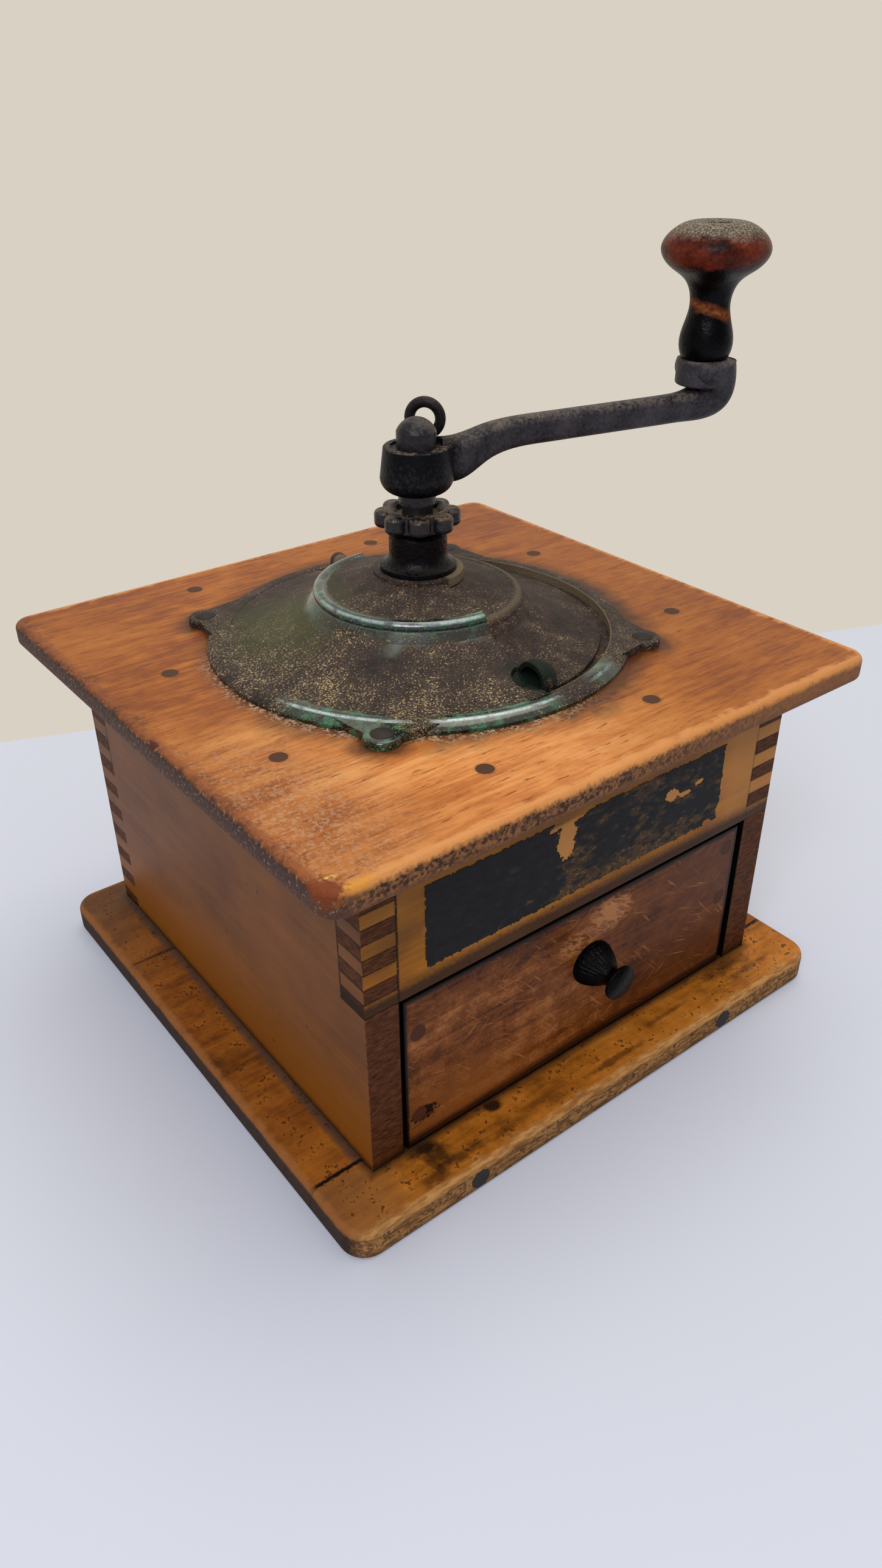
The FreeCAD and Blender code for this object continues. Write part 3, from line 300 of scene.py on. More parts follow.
def base_boards():
    """Amber varnish on pine: blotched, dirty, black against the box, arrises worn to a pale streaky line."""
    look, tree = new_look("amber_varnish_on_pine")
    point, x, y, z = in_mm(tree)
    bands = patches(tree, point, (40.0, 6.0, 9.0), 14.0, 5.0, 1.0)
    fibre = patches(tree, point, (16.0, 1.1, 0.9), 18.0, 3.0)
    cloud = patches(tree, point, (26.0, 18.0, 26.0), 17.0)
    lumps = patches(tree, point, (4.5, 4.5, 4.5), 19.0)
    grit = patches(tree, point, (1.1, 1.1, 1.1), 5.0, 2.0)
    tone = add(tree, "Math:MULTIPLY_ADD", [bands, 0.35, add(tree, "Math:MULTIPLY", [fibre, 0.15])])
    tone = add(tree, "Math:MULTIPLY_ADD", [cloud, 0.5, tone])
    tone = add(tree, "Math:MULTIPLY_ADD", [lumps, 0.3, tone])
    colour = add(tree, "ValToRGB", [tone],
                 stops=[(0.5, "#744313"), (0.6, "#a1611b"), (0.7, "#ba7428"), (0.82, "#cf8a40")])
    # Browned by hands at the left, darker along the sides and the back
    handled = add(tree, "MapRange", [add(tree, "Math:MULTIPLY_ADD", [lumps, 14.0, x]),
                                     -54.0, -68.0, 0.0, 0.7])
    colour = add(tree, "MixRGB", [handled, colour, "#7e5330"])
    behind = add(tree, "MapRange", [y, strip_seam - 0.3, strip_seam + 0.3, 0.0, 1.0])
    side = add(tree, "ValToRGB", [tone], stops=[(0.5, "#5a3210"), (0.62, "#844b1a"), (0.76, "#a36220")])
    colour = add(tree, "MixRGB", [behind, colour, side])
    far = add(tree, "MapRange", [y, 20.0, 70.0, 0.0, 0.7])
    colour = add(tree, "MixRGB", [far, colour, "#4c3725"])
    # Darker in a band against the box, and lint
    gap = inset(tree, x, y, box_half, box_middle)
    off = add(tree, "Math:MULTIPLY_ADD", [cloud, -3.0, gap])
    off = add(tree, "Math:MULTIPLY_ADD", [lumps, -3.0, off])
    dark_band_at_box = add(tree, "MapRange", [off, -2.9, -0.4, 0.9, 0.0])
    lint = add(tree, "MapRange", [add(tree, "Math:MULTIPLY_ADD", [lumps, -2.0, gap]), 0.8, 2.0, 0.55, 0.0])
    lint = add(tree, "Math:MULTIPLY", [lint, behind])
    colour = add(tree, "MixRGB", [dark_band_at_box, colour, "#22130a"])
    colour = add(tree, "MixRGB", [lint, colour, "#56443a"])
    # Blots and flecks, the seam of the front strip and a drying crack
    for centre, half, strength in (
        ((-56.0, -73.6), (4.2, 2.2), 0.95), ((-54.0, -77.5), (3.0, 3.0), 0.75),
        ((-49.8, -80.8), (6.5, 1.6), 0.6), ((-33.0, -73.4), (2.2, 1.7), 0.95),
        ((-58.5, -82.6), (3.0, 1.6), 0.55), ((58.0, -74.5), (9.0, 2.2), 0.7),
        ((4.0, -81.5), (9.0, 1.0), 0.55), ((-36.0, -82.0), (3.0, 1.0), 0.5),
        ((26.0, -78.0), (7.0, 0.9), 0.5), ((62.0, -79.5), (8.0, 1.1), 0.55),
    ):
        blot = worn_spot(tree, point, (*centre, base_face), (*half, 5.0), 2.4, lumps, 0.45)
        colour = add(tree, "MixRGB", [add(tree, "Math:MULTIPLY", [blot, strength]), colour, "#20120b"])
    fleck = add(tree, "Math:MULTIPLY_ADD", [grit, 0.5, add(tree, "Math:MULTIPLY", [lumps, 0.5])])
    fleck = add(tree, "MapRange", [fleck, 0.57, 0.62, 0.0, 0.8])
    colour = add(tree, "MixRGB", [fleck, colour, "#3a2010"])
    seam = apart(tree, y, strip_seam)
    seam = add(tree, "Math:MULTIPLY_ADD", [grit, -0.8, seam])
    seam = add(tree, "MapRange", [seam, -0.1, 0.3, 1.0, 0.0])
    colour = add(tree, "MixRGB", [seam, colour, "#160b06"])
    check = apart(tree, y, 37.0)
    check = add(tree, "MapRange", [add(tree, "Math:MULTIPLY_ADD", [lumps, -1.6, check]), -0.6, 0.0, 0.7, 0.0])
    colour = add(tree, "MixRGB", [check, colour, "#2b190d"])
    # Worn arris and streaky sawn edges
    outer = inset(tree, x, y, base_half, base_middle)
    splinter = patches(tree, point, (5.0, 1.0, 0.8), 21.0, 4.0)
    worn = add(tree, "Math:MULTIPLY_ADD", [lumps, 5.0, outer])
    worn = add(tree, "Math:MULTIPLY_ADD", [splinter, 2.0, worn])
    worn = add(tree, "MapRange", [worn, 1.0, 2.8, 0.0, 0.8])
    ahead = add(tree, "MapRange", [y, -82.0, -85.0, 0.0, 1.0])
    streak = add(tree, "MapRange", [splinter, 0.4, 0.6, 0.0, 1.0])
    pale = add(tree, "MixRGB", [streak, "#8e6538", "#c1935a"])
    pale = add(tree, "MixRGB", [ahead, "#925c30", pale])
    colour = add(tree, "MixRGB", [worn, colour, pale])
    shaken = add(tree, "Math:MULTIPLY_ADD", [lumps, 1.8, z])
    upright = add(tree, "MapRange", [shaken, base_face - 0.4, base_face - 1.4, 0.0, 1.0])
    sawn = add(tree, "MixRGB", [streak, "#69441f", "#ab7c48"])
    sawn = add(tree, "MixRGB", [ahead, "#3a281e", sawn])
    pits = add(tree, "MapRange", [add(tree, "Math:MULTIPLY_ADD", [splinter, 0.6, grit]),
                                  0.86, 0.96, 0.0, 0.8])
    sawn = add(tree, "MixRGB", [pits, sawn, "#2a190f"])
    colour = add(tree, "MixRGB", [upright, colour, sawn])
    # Painted shade: darker at the foot of the upright edges, against the table
    low = add(tree, "MapRange", [shaken, 3.4, 1.6, 0.0, 0.6])
    colour = add(tree, "MixRGB", [low, colour, "#38261a"])
    rough = add(tree, "Math:MULTIPLY_ADD", [add(tree, "Math:MAXIMUM", [worn, dark_band_at_box]), 0.3, 0.45])
    height = add(tree, "Math:MULTIPLY_ADD", [fibre, 0.5, add(tree, "Math:MULTIPLY", [splinter, worn])])
    height = add(tree, "Math:MULTIPLY_ADD", [add(tree, "Math:MAXIMUM", [seam, check]), -1.5, height])
    dress(tree, colour, rough, height, 0.25, specular=0.14)
    return look


def box_boards(name, along, seed, stops):
    """Brown varnish on thin pine: orange at the foot, grey above; dark sawn ends, black joint lines."""
    look, tree = new_look(name)
    point, x, y, z = in_mm(tree)
    bands, fibre = board_grain(tree, point, along, 6.0, seed)
    cloud = patches(tree, point, (40.0, 40.0, 24.0), seed + 2.0)
    grit = patches(tree, point, (1.1, 1.1, 1.1), seed + 3.0, 2.0)
    tone = add(tree, "Math:MULTIPLY_ADD", [bands, 0.3, add(tree, "Math:MULTIPLY", [fibre, 0.14])])
    tone = add(tree, "Math:MULTIPLY_ADD", [cloud, 0.56, tone])
    colour = add(tree, "ValToRGB", [tone], stops=stops)
    # Orange foot, grey head and scattered pores
    falling = add(tree, "Math:MULTIPLY_ADD", [cloud, -16.0, z])
    foot = add(tree, "MapRange", [falling, 38.0, 2.0, 0.0, 0.85])
    colour = add(tree, "MixRGB", [foot, colour, "#8a5115"])
    head = add(tree, "MapRange", [falling, 62.0, 84.0, 0.0, 0.6])
    colour = add(tree, "MixRGB", [head, colour, "#5a4021"])
    pore = patches(tree, point, (2.4, 2.4, 2.4), seed + 9.0, 1.0)
    pore = add(tree, "MapRange", [pore, 0.75, 0.79, 0.0, 0.7])
    colour = add(tree, "MixRGB", [pore, colour, "#341d0e"])
    # Sawn ends of the fingers
    ends = add(tree, "Math:ABSOLUTE", [facing(tree)[along]])
    ends = add(tree, "MapRange", [ends, 0.5, 0.7, 0.0, 1.0])
    rays = patches(tree, point, (2.4, 2.4, 0.7), seed + 6.0, 3.0)
    sawn = add(tree, "ValToRGB", [rays], stops=[(0.3, "#301909"), (0.5, "#502b15"), (0.72, "#6a3e20")])
    colour = add(tree, "MixRGB", [ends, colour, sawn])
    # Black lines round the fingers, painted shade along the foot where the boards meet the base, rubbed arris
    step = add(tree, "Math:DIVIDE", [add(tree, "Math:SUBTRACT", [z, rail_low]), finger_width])
    step = add(tree, "Math:SUBTRACT", [add(tree, "Math:FRACT", [step]), 0.5])
    level = add(tree, "MapRange", [add(tree, "Math:ABSOLUTE", [step]), 0.43, 0.47, 0.0, 1.0])
    in_x = add(tree, "Math:SUBTRACT", [add(tree, "Math:ABSOLUTE", [x]), box_half[0] - finger_length])
    in_y = add(tree, "Math:SUBTRACT", [add(tree, "Math:ABSOLUTE", [y]), box_half[1] - finger_length])
    lap = add(tree, "Math:MINIMUM", [in_x, in_y])
    level = add(tree, "Math:MULTIPLY", [level, add(tree, "Math:GREATER_THAN", [lap, -0.2])])
    end_line = add(tree, "MapRange", [add(tree, "Math:ABSOLUTE", [lap]), 0.2, 0.4, 1.0, 0.0])
    joint = add(tree, "Math:MAXIMUM", [level, end_line])
    above = add(tree, "MapRange", [z, rail_low - 0.4, rail_low, 0.0, 1.0])
    joint = add(tree, "Math:MULTIPLY", [joint, above])
    joint = add(tree, "Math:MULTIPLY", [joint, add(tree, "MapRange", [grit, 0.3, 0.5, 0.35, 0.95])])
    colour = add(tree, "MixRGB", [joint, colour, "#140a05"])
    # Painted shade: near black along the foot of the boards, in the crease against the base
    painted_foot_shade = add(tree, "MapRange", [add(tree, "Math:MULTIPLY_ADD", [grit, -1.6, z]),
                                    base_face - 0.8, base_face + 2.0, 0.9, 0.0])
    colour = add(tree, "MixRGB", [painted_foot_shade, colour, "#1c0e06"])
    worn = add(tree, "Math:MULTIPLY", [arris(tree, 0.7), add(tree, "MapRange", [grit, 0.45, 0.6, 0.0, 0.6])])
    colour = add(tree, "MixRGB", [worn, colour, "#93653a"])
    # Sides: painted shade, near black, on their inner faces; the rail is pale round its label and shaded over
    # the drawer
    if along == 1:
        painted_inner_shade = add(tree, "MapRange", [in_x, 0.1, 0.3, 1.0, 0.0])
        colour = add(tree, "MixRGB", [painted_inner_shade, colour, "#0b0604"])
    else:
        under = worn_spot(tree, point, label_middle, (49.0, 4.0, 11.0), 0.1, grit, 0.05)
        colour = add(tree, "MixRGB", [under, colour, "#bd8342"])
        front = add(tree, "MapRange", [y, 0.0, -10.0, 0.0, 1.0])
        faded = add(tree, "MapRange", [x, 44.0, 52.0, 0.0, 0.5])
        faded = add(tree, "Math:MULTIPLY", [faded, front])
        colour = add(tree, "MixRGB", [faded, colour, "#c08546"])
        shade = add(tree, "Math:MULTIPLY_ADD", [cloud, -4.0, z])
        shade = add(tree, "Math:MULTIPLY_ADD", [grit, -2.4, shade])
        shade = add(tree, "MapRange", [shade, rail_low + 3.2, rail_low - 0.6, 0.0, 0.9])
        shade = add(tree, "Math:MULTIPLY", [shade, front])
        colour = add(tree, "MixRGB", [shade, colour, "#26140a"])
    rough = add(tree, "Math:MULTIPLY_ADD", [ends, 0.2, 0.42])
    height = add(tree, "Math:MULTIPLY_ADD", [ends, add(tree, "Math:SUBTRACT", [rays, fibre]), fibre])
    height = add(tree, "Math:MULTIPLY_ADD", [joint, -1.5, height])
    dress(tree, colour, rough, height, 0.1, 0.4, 0.12)
    return look


def drawer_face():
    """Red-brown varnish on the drawer front: clustered scratches, a scraped pale patch, black rims."""
    look, tree = new_look("scratched_red_brown_varnish")
    point, x, y, z = in_mm(tree)
    bands, fibre = board_grain(tree, point, 0, 4.5, 31.0)
    cloud = patches(tree, point, (30.0, 30.0, 16.0), 33.0)
    lumps = patches(tree, point, (5.0, 5.0, 5.0), 35.0)
    grit = patches(tree, point, (1.1, 1.1, 1.1), 36.0, 2.0)
    tone = add(tree, "Math:MULTIPLY_ADD", [bands, 0.45, add(tree, "Math:MULTIPLY", [lumps, 0.35])])
    tone = add(tree, "Math:MULTIPLY_ADD", [cloud, 0.5, tone])
    tone = add(tree, "Math:MULTIPLY_ADD", [fibre, 0.2, tone])
    tone = add(tree, "Math:MULTIPLY_ADD", [grit, 0.24, tone])
    colour = add(tree, "ValToRGB", [tone],
                 stops=[(0.7, "#3c1905"), (0.82, "#68360e"), (0.9, "#7e461c"), (1.0, "#a06434")])
    # Darker to the right, paler in the lower left corner
    right = add(tree, "MapRange", [x, 0.0, 40.0, 0.0, 0.7])
    colour = add(tree, "MixRGB", [right, colour, "#4e2711"])
    corner = worn_spot(tree, point, (-40.0, box_front, 17.0), (20.0, 20.0, 9.0), 1.4, cloud, 0.6)
    colour = add(tree, "MixRGB", [add(tree, "Math:MULTIPLY", [corner, 0.6]), colour, "#925526"])
    # Bunched scratches at three angles
    lines = 0.0
    for turn, seed in ((1.2, 41.0), (0.75, 47.0), (-0.9, 53.0)):
        leaned = add(tree, "Mapping", {0: point, 2: (0.0, turn, 0.0)})
        line = patches(tree, leaned, (0.7, 20.0, 12.0), seed, 2.0)
        line = add(tree, "MapRange", [line, 0.61, 0.69, 0.0, 1.0])
        bunch = patches(tree, point, (15.0, 15.0, 12.0), seed + 3.0, 1.0)
        bunch = add(tree, "MapRange", [bunch, 0.5, 0.62, 0.1, 1.0])
        line = add(tree, "Math:MULTIPLY", [line, bunch])
        lines = add(tree, "Math:MAXIMUM", [line, lines])
    lines = add(tree, "Math:MULTIPLY", [lines, 0.7])
    colour = add(tree, "MixRGB", [lines, colour, "#a56c3c"])
    # Scraped patches over the pull
    scrape = add(tree, "Mapping", {0: point, 2: (0.0, -0.5, 0.0)})
    scrape = patches(tree, scrape, (4.0, 20.0, 1.3), 57.0, 3.0)
    rubbed = worn_spot(tree, point, (8.5, box_front, 52.0), (7.6, 20.0, 5.2), 2.0, scrape, 0.12)
    lower = worn_spot(tree, point, (-2.5, box_front, 47.6), (8.5, 20.0, 4.4), 2.4, scrape, 0.2)
    rubbed = add(tree, "Math:MULTIPLY", [rubbed, add(tree, "MapRange", [scrape, 0.4, 0.52, 0.35, 1.0])])
    lower = add(tree, "Math:MULTIPLY", [lower, add(tree, "MapRange", [scrape, 0.44, 0.56, 0.1, 0.85])])
    rubbed = add(tree, "Math:MAXIMUM", [rubbed, lower])
    colour = add(tree, "MixRGB", [rubbed, colour, "#b0774d"])
    # Dirty rims with painted shade along the foot and top, and black painted shadow of the gaps at the very
    # edge, on the face alone
    edge = inset(tree, x, z, drawer_half, drawer_middle)
    painted_gap_shadow = add(tree, "MapRange", [add(tree, "Math:MULTIPLY_ADD", [lumps, 0.8, edge]), -0.6, 0.0, 0.0, 1.0])
    edge = add(tree, "Math:MULTIPLY_ADD", [lumps, 3.4, edge])
    edge = add(tree, "Math:MULTIPLY_ADD", [grit, 1.2, edge])
    edge = add(tree, "MapRange", [edge, 0.6, 2.8, 0.0, 0.8])
    foot = add(tree, "MapRange", [add(tree, "Math:MULTIPLY_ADD", [lumps, -2.0, z]), 10.6, 12.6, 0.9, 0.0])
    painted_top_shade = add(tree, "MapRange", [add(tree, "Math:MULTIPLY_ADD", [lumps, 1.6, z]), 57.8, 58.8, 0.0, 0.95])
    edge = add(tree, "Math:MAXIMUM", [add(tree, "Math:MAXIMUM", [edge, foot]), painted_top_shade])
    shown = add(tree, "MapRange", [y, box_front + 3.0, box_front + 1.0, 0.0, 1.0])
    edge = add(tree, "Math:MULTIPLY", [edge, shown])
    painted_gap_shadow = add(tree, "Math:MULTIPLY", [painted_gap_shadow, shown])
    colour = add(tree, "MixRGB", [edge, colour, "#24100a"])
    colour = add(tree, "MixRGB", [painted_gap_shadow, colour, "#080403"])
    # Rust round the nails and one black blot
    stain = near_marks(tree, point, drawer_nails, 2.3, grit)
    stain = add(tree, "Math:MULTIPLY", [stain, 0.7])
    colour = add(tree, "MixRGB", [stain, colour, "#1d0f09"])
    blot = worn_spot(tree, point, (-53.8, box_front, 19.2), (3.6, 6.0, 2.3), 2.6, grit, 0.25)
    colour = add(tree, "MixRGB", [blot, colour, "#0a0707"])
    rough = add(tree, "Math:MULTIPLY_ADD", [rubbed, 0.25, 0.4])
    height = add(tree, "Math:MULTIPLY_ADD", [fibre, 0.5, add(tree, "Math:MULTIPLY", [lines, -0.6])])
    height = add(tree, "Math:MULTIPLY_ADD", [rubbed, -0.8, height])
    dress(tree, colour, rough, height, 0.16, 0.6, 0.14)
    return look


def bare_pine():
    """Unfinished pine inside the drawer, browned by coffee."""
    look, tree = new_look("bare_pine_browned_by_coffee")
    point, _, _, z = in_mm(tree)
    bands, fibre = board_grain(tree, point, 1, 5.0, 71.0)
    cloud = patches(tree, point, (30.0, 30.0, 18.0), 73.0)
    tone = add(tree, "Math:MULTIPLY_ADD", [bands, 0.5, add(tree, "Math:MULTIPLY", [fibre, 0.3])])
    tone = add(tree, "Math:MULTIPLY_ADD", [cloud, 0.5, tone])
    colour = add(tree, "ValToRGB", [tone], stops=[(0.48, "#6b4526"), (0.64, "#9c7145"), (0.82, "#bb9160")])
    dregs = add(tree, "MapRange", [add(tree, "Math:MULTIPLY_ADD", [cloud, -22.0, z]), 6.0, 20.0, 0.65, 0.0])
    colour = add(tree, "MixRGB", [dregs, colour, "#4a2c17"])
    dress(tree, colour, 0.72, fibre, 0.15, 0.4, 0.2)
    return look


def cover_iron(enamelled):
    """Cast iron cover: purplish brown iron specked with coffee dust; glossy green enamel on its rims, with
    painted highlights.
    """
    look, tree = new_look("dusty_iron_with_green_enamel" if enamelled else "dusty_brown_iron")
    point, x, y, _ = in_mm(tree)
    cloud = patches(tree, point, (15.0, 15.0, 15.0), 81.0)
    mottle = patches(tree, point, (3.6, 3.6, 3.6), 84.0)
    grit = patches(tree, point, (0.5, 0.5, 0.5), 87.0, 1.5)
    tone = add(tree, "Math:MULTIPLY_ADD", [cloud, 0.5, add(tree, "Math:MULTIPLY", [mottle, 0.5])])
    colour = add(tree, "ValToRGB", [tone], stops=[(0.34, "#1f1815"), (0.5, "#392c27"), (0.66, "#4e4039")])
    # Dust gathers to the front left and towards the rim
    radius = from_axis(tree, point)[1]
    lee = add(tree, "Math:ADD", [x, add(tree, "Math:MULTIPLY", [y, 0.8])])
    drift = add(tree, "MapRange", [lee, 30.0, -50.0, -0.07, 0.03])
    drift = add(tree, "Math:ADD", [add(tree, "MapRange", [radius, 30.0, 48.0, 0.0, 0.03]), drift])
    drift = add(tree, "Math:ADD", [drift, add(tree, "Math:MULTIPLY_ADD", [cloud, 0.36, grit])])
    drift = add(tree, "Math:MULTIPLY_ADD", [mottle, 0.14, drift])
    dust = add(tree, "MapRange", [drift, 0.86, 0.95, 0.0, 0.85])
    colour = add(tree, "MixRGB", [dust, colour, "#ad9970"])
    pits = add(tree, "MapRange", [grit, 0.44, 0.36, 0.0, 0.85])
    colour = add(tree, "MixRGB", [pits, colour, "#0f0a09"])
    # Painted shade and enamel: dark green over the hollow of the thumb scoop
    scoop_shade_and_enamel = worn_spot(tree, point, (2.0, -45.3, top_face + 5.0), (6.4, 6.4, 9.0), 0.9, mottle, 0.25)
    colour = add(tree, "MixRGB", [scoop_shade_and_enamel, colour, "#0b1a12"])
    height = add(tree, "Math:MULTIPLY_ADD", [dust, 0.8, add(tree, "Math:ADD", [grit, mottle])])
    # The door and hopper have a paler ridge and no enamel
    if not enamelled:
        ridge = apart(tree, radius, bead_radius)
        ridge = add(tree, "MapRange", [add(tree, "Math:MULTIPLY_ADD", [mottle, 1.6, ridge]),
                                       1.0, 2.2, 0.55, 0.0])
        colour = add(tree, "MixRGB", [ridge, colour, "#6d604c"])
        dress(tree, colour, 0.62, height, 0.22, 0.3, 0.22)
        return look
    # Enamel left on the bead, the skirt, parts of the rim and one lug
    turn = add(tree, "Math:ARCTAN2", [y, x])
    on_bead = apart(tree, radius, bead_radius)
    on_bead = add(tree, "Math:MULTIPLY_ADD", [mottle, 2.4, on_bead])
    on_bead = add(tree, "MapRange", [on_bead, 2.7, 3.7, 1.0, 0.0])
    on_bead = add(tree, "Math:MULTIPLY", [on_bead, add(tree, "MapRange", [x, 1.5, 0.5, 0.0, 1.0])])
    skirt = add(tree, "Math:MULTIPLY_ADD", [cloud, 15.0, radius])
    skirt = add(tree, "Math:MULTIPLY_ADD", [mottle, 6.0, skirt])
    skirt = add(tree, "MapRange", [skirt, 38.5, 42.0, 0.8, 0.0])
    skirt = add(tree, "Math:MULTIPLY", [skirt, add(tree, "MapRange", [radius, 26.0, 27.5, 0.0, 1.0])])
    skirt = add(tree, "Math:MULTIPLY", [skirt, add(tree, "MapRange", [x, 1.0, -6.0, 0.0, 1.0])])
    on_rim = add(tree, "MapRange", [add(tree, "Math:MULTIPLY_ADD", [mottle, 2.4, radius]),
                                    rim_radius - 2.2, rim_radius - 1.0, 0.0, 1.0])
    arc = 0.0
    for middle, half in ((-2.6, 0.25), (-1.85, 0.3), (-1.2, 0.1)):
        away = apart(tree, turn, middle)
        away = add(tree, "Math:MULTIPLY_ADD", [mottle, 0.35, away])
        away = add(tree, "MapRange", [away, half + 0.12, half + 0.22, 1.0, 0.0])
        arc = add(tree, "Math:MAXIMUM", [away, arc])
    on_rim = add(tree, "Math:MULTIPLY", [on_rim, arc])
    ear = worn_spot(tree, point, (-lug_line, -lug_line, top_face + 2.0), (6.6, 6.6, 6.0), 1.6, mottle, 0.3)
    enamel = add(tree, "Math:MAXIMUM", [on_bead, on_rim])
    enamel = add(tree, "Math:MAXIMUM", [enamel, ear])
    enamel = add(tree, "Math:MAXIMUM", [enamel, skirt])
    bare = add(tree, "MapRange", [grit, 0.68, 0.62, 0.2, 1.0])
    enamel = add(tree, "Math:MULTIPLY", [enamel, bare])
    glaze = add(tree, "ValToRGB", [mottle], stops=[(0.38, "#04100b"), (0.5, "#0a2a1d"), (0.64, "#2a6a4b")])
    # Painted highlights: pale bluish white lines along the enamelled bead and rim, on their front left
    painted_highlight = 0.0
    for line, spread in ((bead_radius + 1.0, 0.3), (rim_radius, 0.45)):
        away = apart(tree, radius, line)
        away = add(tree, "Math:MULTIPLY_ADD", [mottle, 0.9, away])
        away = add(tree, "MapRange", [away, spread + 0.25, spread + 0.65, 1.0, 0.0])
        painted_highlight = add(tree, "Math:MAXIMUM", [away, painted_highlight])
    painted_highlight = add(tree, "Math:MULTIPLY", [painted_highlight, add(tree, "MapRange", [lee, -12.0, -24.0, 0.0, 0.75])])
    painted_highlight = add(tree, "Math:MULTIPLY", [painted_highlight, add(tree, "MapRange", [mottle, 0.36, 0.52, 0.2, 1.0])])
    painted_highlight = add(tree, "Math:MULTIPLY", [painted_highlight, add(tree, "MapRange", [y, 10.0, -18.0, 0.5, 1.0])])
    painted_highlight = add(tree, "Math:MULTIPLY", [painted_highlight, add(tree, "MapRange", [x, -5.0, 12.0, 1.0, 0.6])])
    glaze = add(tree, "MixRGB", [painted_highlight, glaze, "#c0d5d8"])
    # Dust colour on the ledge and wall beside the door, made pale as painted light to lift their shade; an
    # olive tint at the back left
    gap = add(tree, "MapRange", [radius, 52.0, 52.3, 0.75, 0.0])
    gap = add(tree, "Math:MULTIPLY", [gap, add(tree, "MapRange", [x, 0.5, 1.5, 0.0, 1.0])])
    colour = add(tree, "MixRGB", [gap, colour, "#7a6b52"])
    tint = worn_spot(tree, point, (-34.0, 15.0, top_face + 9.0), (13.0, 17.0, 12.0), 1.6, cloud, 0.7)
    tint = add(tree, "Math:MULTIPLY", [tint, 0.45])
    colour = add(tree, "MixRGB", [tint, colour, "#4c5628"])
    colour = add(tree, "MixRGB", [enamel, colour, glaze])
    rough = add(tree, "MapRange", [enamel, 0.2, 0.9, 0.62, 0.14])
    height = add(tree, "Math:MULTIPLY", [add(tree, "Math:SUBTRACT", [1.0, enamel]), height])
    swell = add(tree, "MapRange", [mottle, 0.0, 1.0, 0.9, 1.7])
    height = add(tree, "Math:MULTIPLY_ADD", [enamel, swell, height])
    shader = dress(tree, colour, rough, height, 0.22, 0.3, 0.3)
    tree.links.new(enamel, shader.inputs["Coat Weight"])
    shader.inputs["Coat Roughness"].default_value = 0.1
    return look


def black_iron(name, dark, light, dust, dust_share, roughness, specular, core=None):
    """Black japanned iron: nearly lightless, small cold highlights, dust or rust on what faces up.

    A core colour, where given, darkens what lies close to the spindle.
    """
    look, tree = new_look(name)
    point = in_mm(tree)[0]
    cloud = patches(tree, point, (8.0, 8.0, 8.0), 91.0)
    grit = patches(tree, point, (0.9, 0.9, 0.9), 95.0, 2.0)
    tone = add(tree, "Math:MULTIPLY_ADD", [cloud, 0.6, add(tree, "Math:MULTIPLY", [grit, 0.4])])
    colour = add(tree, "ValToRGB", [tone], stops=[(0.36, dark), (0.64, light)])
    if core:
        radius = from_axis(tree, point)[1]
        middle = add(tree, "MapRange", [add(tree, "Math:MULTIPLY_ADD", [grit, 4.0, radius]),
                                        11.0, 14.5, 1.0, 0.0])
        colour = add(tree, "MixRGB", [middle, colour, core])
    up = add(tree, "MapRange", [facing(tree)[2], 0.15, 0.85, 0.0, 1.0])
    settled = add(tree, "Math:MULTIPLY_ADD", [cloud, 0.8, grit])
    settled = add(tree, "MapRange", [settled, 0.82, 1.05, 0.0, dust_share])
    settled = add(tree, "Math:MULTIPLY", [settled, up])
    colour = add(tree, "MixRGB", [settled, colour, dust])
    rough = add(tree, "Math:MULTIPLY_ADD", [settled, 0.35, roughness])
    dress(tree, colour, rough, add(tree, "Math:ADD", [grit, cloud]), 0.2, 0.35, specular)
    return look


def plain_iron(name, dark, light, metal, roughness):
    """Bare iron or steel of the works, dulled by coffee oil."""
    look, tree = new_look(name)
    point = in_mm(tree)[0]
    cloud = patches(tree, point, (5.0, 5.0, 5.0), 101.0)
    colour = add(tree, "ValToRGB", [cloud], stops=[(0.3, dark), (0.7, light)])
    shader = dress(tree, colour, roughness, cloud, 0.08, 0.2, 0.4)
    shader.inputs["Metallic"].default_value = metal
    return look


def nail_heads(name, rust, marks, radius):
    """Old cut nails: a brown rusted head with a black ring of dirt where it meets the wood."""
    look, tree = new_look(name)
    point = in_mm(tree)[0]
    grit = patches(tree, point, (0.9, 0.9, 0.9), 131.0, 2.0)
    head = near_marks(tree, point, marks, radius, grit)
    colour = add(tree, "MixRGB", [head, "#1a0f0a", rust])
    dress(tree, colour, 0.55, grit, 0.2, 0.2, 0.2)
    return look


